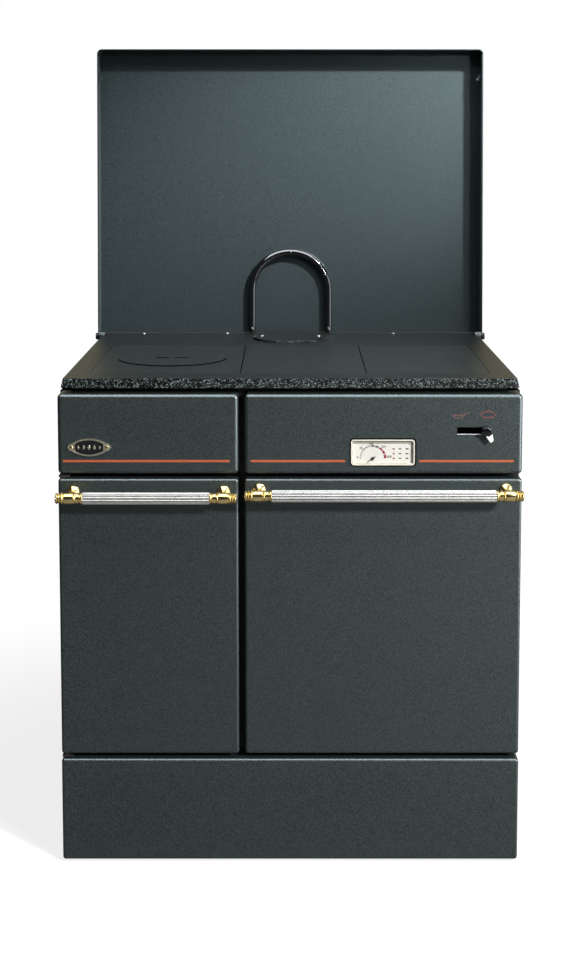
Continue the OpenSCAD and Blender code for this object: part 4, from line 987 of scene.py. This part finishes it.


# DAMPER: knob, rod, slot lip and printed symbols

def damper():
    lo, hi = BOX["damper_lever"]
    x, z, front = lever_x, lever_z, lo.y
    r, half = (hi.z - lo.z) / 2, (hi.x - lo.x) / 2 - (hi.z - lo.z) / 2
    stadium = [(x + half + px, z + pz) for px, pz in arc_points(0, 0, r, -90, 90, 16)]
    stadium += [(x - half + px, z + pz) for px, pz in arc_points(0, 0, r, 90, 270, 16)]
    # Round face of the knob: how far the outline shrinks at each depth, in millimetres
    rings = []
    for inset, depth in ((4.2, 0.0), (2.2, 0.35), (0.9, 1.2), (0.25, 2.4), (0.0, 4.0)):
        shrink = 1 - inset * MM / r
        rings.append([Vector((x + (px - x) * shrink, front + depth * MM, z + (pz - z) * shrink))
                      for px, pz in stadium])
    back = FACE_Y - 0.3 * MM
    rings.append([Vector((px, back, pz)) for px, pz in stadium])
    add_mesh("damper_knob", *loops_to_faces(rings), "knob_black", "damper", smooth=50,
             replaces=("damper_lever",))
    lathe("damper_rod", [(0, 0), (0, 4 * MM), (hi.y - back, 4 * MM), (hi.y - back, 0)],
          (x, back, z), (0, 1, 0), "knob_black", "damper", 32)
    # Rounded lower lip of the slot
    lip_z, lip_r = lever_z - SLOT_HALF - 0.5 * MM, 0.9 * MM
    path = [Vector((px, FACE_Y, lip_z)) for px in (SLOT_X0, (SLOT_X0 + SLOT_X1) / 2, SLOT_X1)]
    sweep("damper_slot_lip", path, oval(lip_r, 0.75 * lip_r, 16), [Vector((0, 0, -1))] * 3, "enamel",
          "stove", MAT["steel"], closed=False)


# Printed symbols, in millimetres from their middles: a frying pan with a raised handle, and a
# cooking pot with a sloping lid and a knob
PAN_BOWL = [(-12, 0), (-8.5, -5), (3.5, -5), (7, 0)]
PAN_RIM = [(-12.5, 0), (7, 0), (17, 5.5)]
POT = [(-13, 1.5), (-8, -4), (8, -4), (13, 1.5), (7, 5.2), (2, 6.2), (0, 8), (-2, 6.2), (-7, 5.2)]
SYMBOL_Z = lever_z + 27 * MM
PAN_X, POT_X = SLOT_X0 + 4 * MM, lever_x + 3 * MM


def symbol(name, points, x, ink, closed=False):
    flat_ribbon(name, [(x + px * MM, SYMBOL_Z + pz * MM) for px, pz in points], 1.0 * MM, FACE_Y,
                INK_T, ink, "enamel", closed=closed)


damper()
symbol("pan_bowl", PAN_BOWL, PAN_X, DIM_INK)
symbol("pan_rim", PAN_RIM, PAN_X, DIM_INK)
symbol("pot_outline", POT, POT_X, RED_SYMBOL, closed=True)


# DOOR SEALS: braided rope between the doors and the frame

def rope_seal(node):
    lo, hi = BOX[node]
    width, depth = 8 * MM, hi.y - lo.y
    y = (lo.y + hi.y) / 2
    path = corner_loop(lo.x + width / 2, hi.x - width / 2, lo.z + width / 2, hi.z - width / 2, y,
                       6 * MM, 5)
    sweep(node + "_rope", path, oval(width / 2, depth / 2, 14), loop_normals(path), "rope",
          BODY[node], smooth=60, replaces=(node,))


rope_seal("fire_door_seal")
rope_seal("oven_door_seal")


# STAGE AND LIGHT

def floor():
    """Pale floor that shows a soft shadow near the stove and fades to plain white around it."""
    size, near, far = 30, 0.5, 1.5
    mesh = bpy.data.meshes.new("studio_floor")
    mesh.from_pydata([(-size, -size, 0), (size, -size, 0), (size, size, 0), (-size, size, 0)], [],
                     [(0, 1, 2, 3)])
    made = new_object("studio_floor", mesh)
    s = Shader("studio_white", (0.22, 0.22, 0.218), 0.8, spec=0.1)
    away = s.node("ShaderNodeVectorMath", operation="LENGTH")
    s.link(s.coords, away.inputs[0])
    fade = s.node("ShaderNodeMapRange", interpolation_type="SMOOTHSTEP", From_Min=near, From_Max=far,
                  To_Min=0.82, To_Max=1.0)
    s.link(away.outputs["Value"], fade.inputs["Value"])
    rays = s.node("ShaderNodeLightPath")
    seen = s.node("ShaderNodeMath", operation="MULTIPLY")
    s.link(fade.outputs["Result"], seen.inputs[0])
    s.link(rays.outputs["Is Camera Ray"], seen.inputs[1])
    s.set("Emission Color", (1, 1, 1, 1))
    s.link(seen.outputs["Value"], s.bsdf.inputs["Emission Strength"])
    mesh.materials.append(s.material)


def aimed_lamp(data, power, place, target, only):
    """Hangs a lamp that points at a target, out of the camera's sight. With `only` it lights just
    the pieces given."""
    data.energy = power
    made = new_object(data.name, data)
    made.location = place
    made.rotation_euler = (Vector(target) - Vector(place)).to_track_quat("-Z", "Y").to_euler()
    made.visible_camera = False
    if only:
        lit = bpy.data.collections.new(made.name + "_receivers")
        for piece in only:
            lit.objects.link(piece)
        made.light_linking.receiver_collection = lit
    return made


def area_light(name, place, target, size, power, colour=(1, 1, 1), gloss_only=False, only=()):
    """Soft lamp; with `gloss_only` it shows in reflections alone."""
    data = bpy.data.lights.new(name, "AREA")
    data.shape = "RECTANGLE"
    data.size, data.size_y = size
    data.color = colour
    aimed_lamp(data, power, place, target, only).visible_diffuse = not gloss_only


def spot_light(name, place, target, cone, wide, power, only):
    """Soft-edged spot of `cone` degrees, `wide` times as wide as it is high."""
    data = bpy.data.lights.new(name, "SPOT")
    data.spot_size = math.radians(cone)
    data.spot_blend = 1.0
    data.shadow_soft_size = 0.14
    aimed_lamp(data, power, place, target, only).scale = (wide, 1, 1)


def world():
    """White to the camera. Gloss mirrors a dim olive studio wall behind the stove and a dark
    room in front of it; as a fill light it is dim and neutral."""
    made = bpy.data.worlds.new("studio_world")
    made.use_nodes = True
    tree = made.node_tree
    tree.nodes.clear()
    new, link = tree.nodes.new, tree.links.new
    out = new("ShaderNodeOutputWorld")
    mix = new("ShaderNodeMixShader")
    mix_fill = new("ShaderNodeMixShader")
    rays = new("ShaderNodeLightPath")
    coords = new("ShaderNodeTexCoord")
    parts = new("ShaderNodeSeparateXYZ")
    ramp = new("ShaderNodeValToRGB")
    dark_room, olive_wall = ramp.color_ramp.elements
    dark_room.color = (0.035, 0.040, 0.042, 1)
    olive_wall.color = (0.42, 0.38, 0.25, 1)
    olive_wall.position = 0.22
    soft = new("ShaderNodeBackground")
    seen = new("ShaderNodeBackground")
    seen.inputs["Color"].default_value = (1, 1, 1, 1)
    fill = new("ShaderNodeBackground")
    fill.inputs["Color"].default_value = (0.060, 0.064, 0.068, 1)
    link(coords.outputs["Generated"], parts.inputs["Vector"])
    link(parts.outputs["Y"], ramp.inputs["Fac"])
    link(ramp.outputs["Color"], soft.inputs["Color"])
    link(rays.outputs["Is Camera Ray"], mix.inputs["Fac"])
    link(rays.outputs["Is Diffuse Ray"], mix_fill.inputs["Fac"])
    link(soft.outputs["Background"], mix_fill.inputs[1])
    link(fill.outputs["Background"], mix_fill.inputs[2])
    link(mix_fill.outputs["Shader"], mix.inputs[1])
    link(seen.outputs["Background"], mix.inputs[2])
    link(mix.outputs["Shader"], out.inputs["Surface"])
    bpy.context.scene.world = made


floor()
world()

# The pieces that each group of lamps lights: the fronts, the lid, the back or the rest
NODES = frame["nodes"]
MADE = [piece for piece in bpy.data.objects if piece.type == "MESH"]
LID_PAN = [NODES["lid_pan"], NODES["lid_arch_plate"]]
FRONTS = [piece for piece in MADE if piece.name.endswith("_pressed")]
OTHERS = [piece for piece in MADE if piece not in LID_PAN and piece not in FRONTS]
EDGED = FRONTS + [bpy.data.objects["lid_arch_bent_tube"]]
BACKS = [NODES[name] for name in ("back_panel", "flue_collar", "left_side_panel",
                                  "right_side_panel", "lid_pan", "lid_arch_nuts")]

# Key lamps from the upper right
KEY_AIM, KEY_SIZE = (0.0, -0.30, 0.75), (0.28, 0.28)
LID_AIM = (0.34, 0.30, 1.42)
area_light("key_high", (2.1, -2.8, 3.2), KEY_AIM, KEY_SIZE, 215, only=OTHERS)
area_light("key_low", (1.9, -3.2, 2.15), KEY_AIM, KEY_SIZE, 76, only=OTHERS)
area_light("key_fronts", (2.5, -2.7, 1.95), KEY_AIM, KEY_SIZE, 265, only=FRONTS)
spot_light("key_lid", (2.35, -2.3, 3.9), LID_AIM, cone=11.4, wide=2.4, power=3000, only=LID_PAN)
area_light("key_lid_low", (1.9, -3.2, 2.15), KEY_AIM, KEY_SIZE, 18, only=LID_PAN)

# Reflector cards above and at the right, and the ones that line the fronts' round edges
TOP_AIM, RIGHT_AIM = (0, -0.4, 0.8), (0.2, -0.3, 0.7)
area_light("card_high", (0.0, -1.0, 3.1), TOP_AIM, (3.0, 2.0), 62, (0.88, 0.95, 1.0), gloss_only=True)
area_light("edge_card_high", (0.0, -1.1, 3.0), TOP_AIM, (3.0, 2.2), 130, (0.95, 0.90, 1.0),
           gloss_only=True, only=EDGED)
area_light("edge_card_right", (2.5, -1.1, 1.0), RIGHT_AIM, (1.6, 2.2), 80, (0.97, 0.92, 1.0),
           gloss_only=True, only=FRONTS)
area_light("card_right", (2.5, -1.0, 1.0), RIGHT_AIM, (1.4, 2.0), 32, (0.92, 0.97, 1.0),
           gloss_only=True)

# Fill for the back and the sides
area_light("back_left", (-2.2, 2.2, 1.9), (-0.2, 0.3, 0.6), (1.2, 1.2), 95, only=BACKS)
area_light("back_right", (2.4, 2.0, 1.7), (0.2, 0.3, 0.6), (1.0, 1.2), 60, only=BACKS)

bpy.context.scene.view_settings.view_transform = "Standard"
bpy.context.view_layer.update()
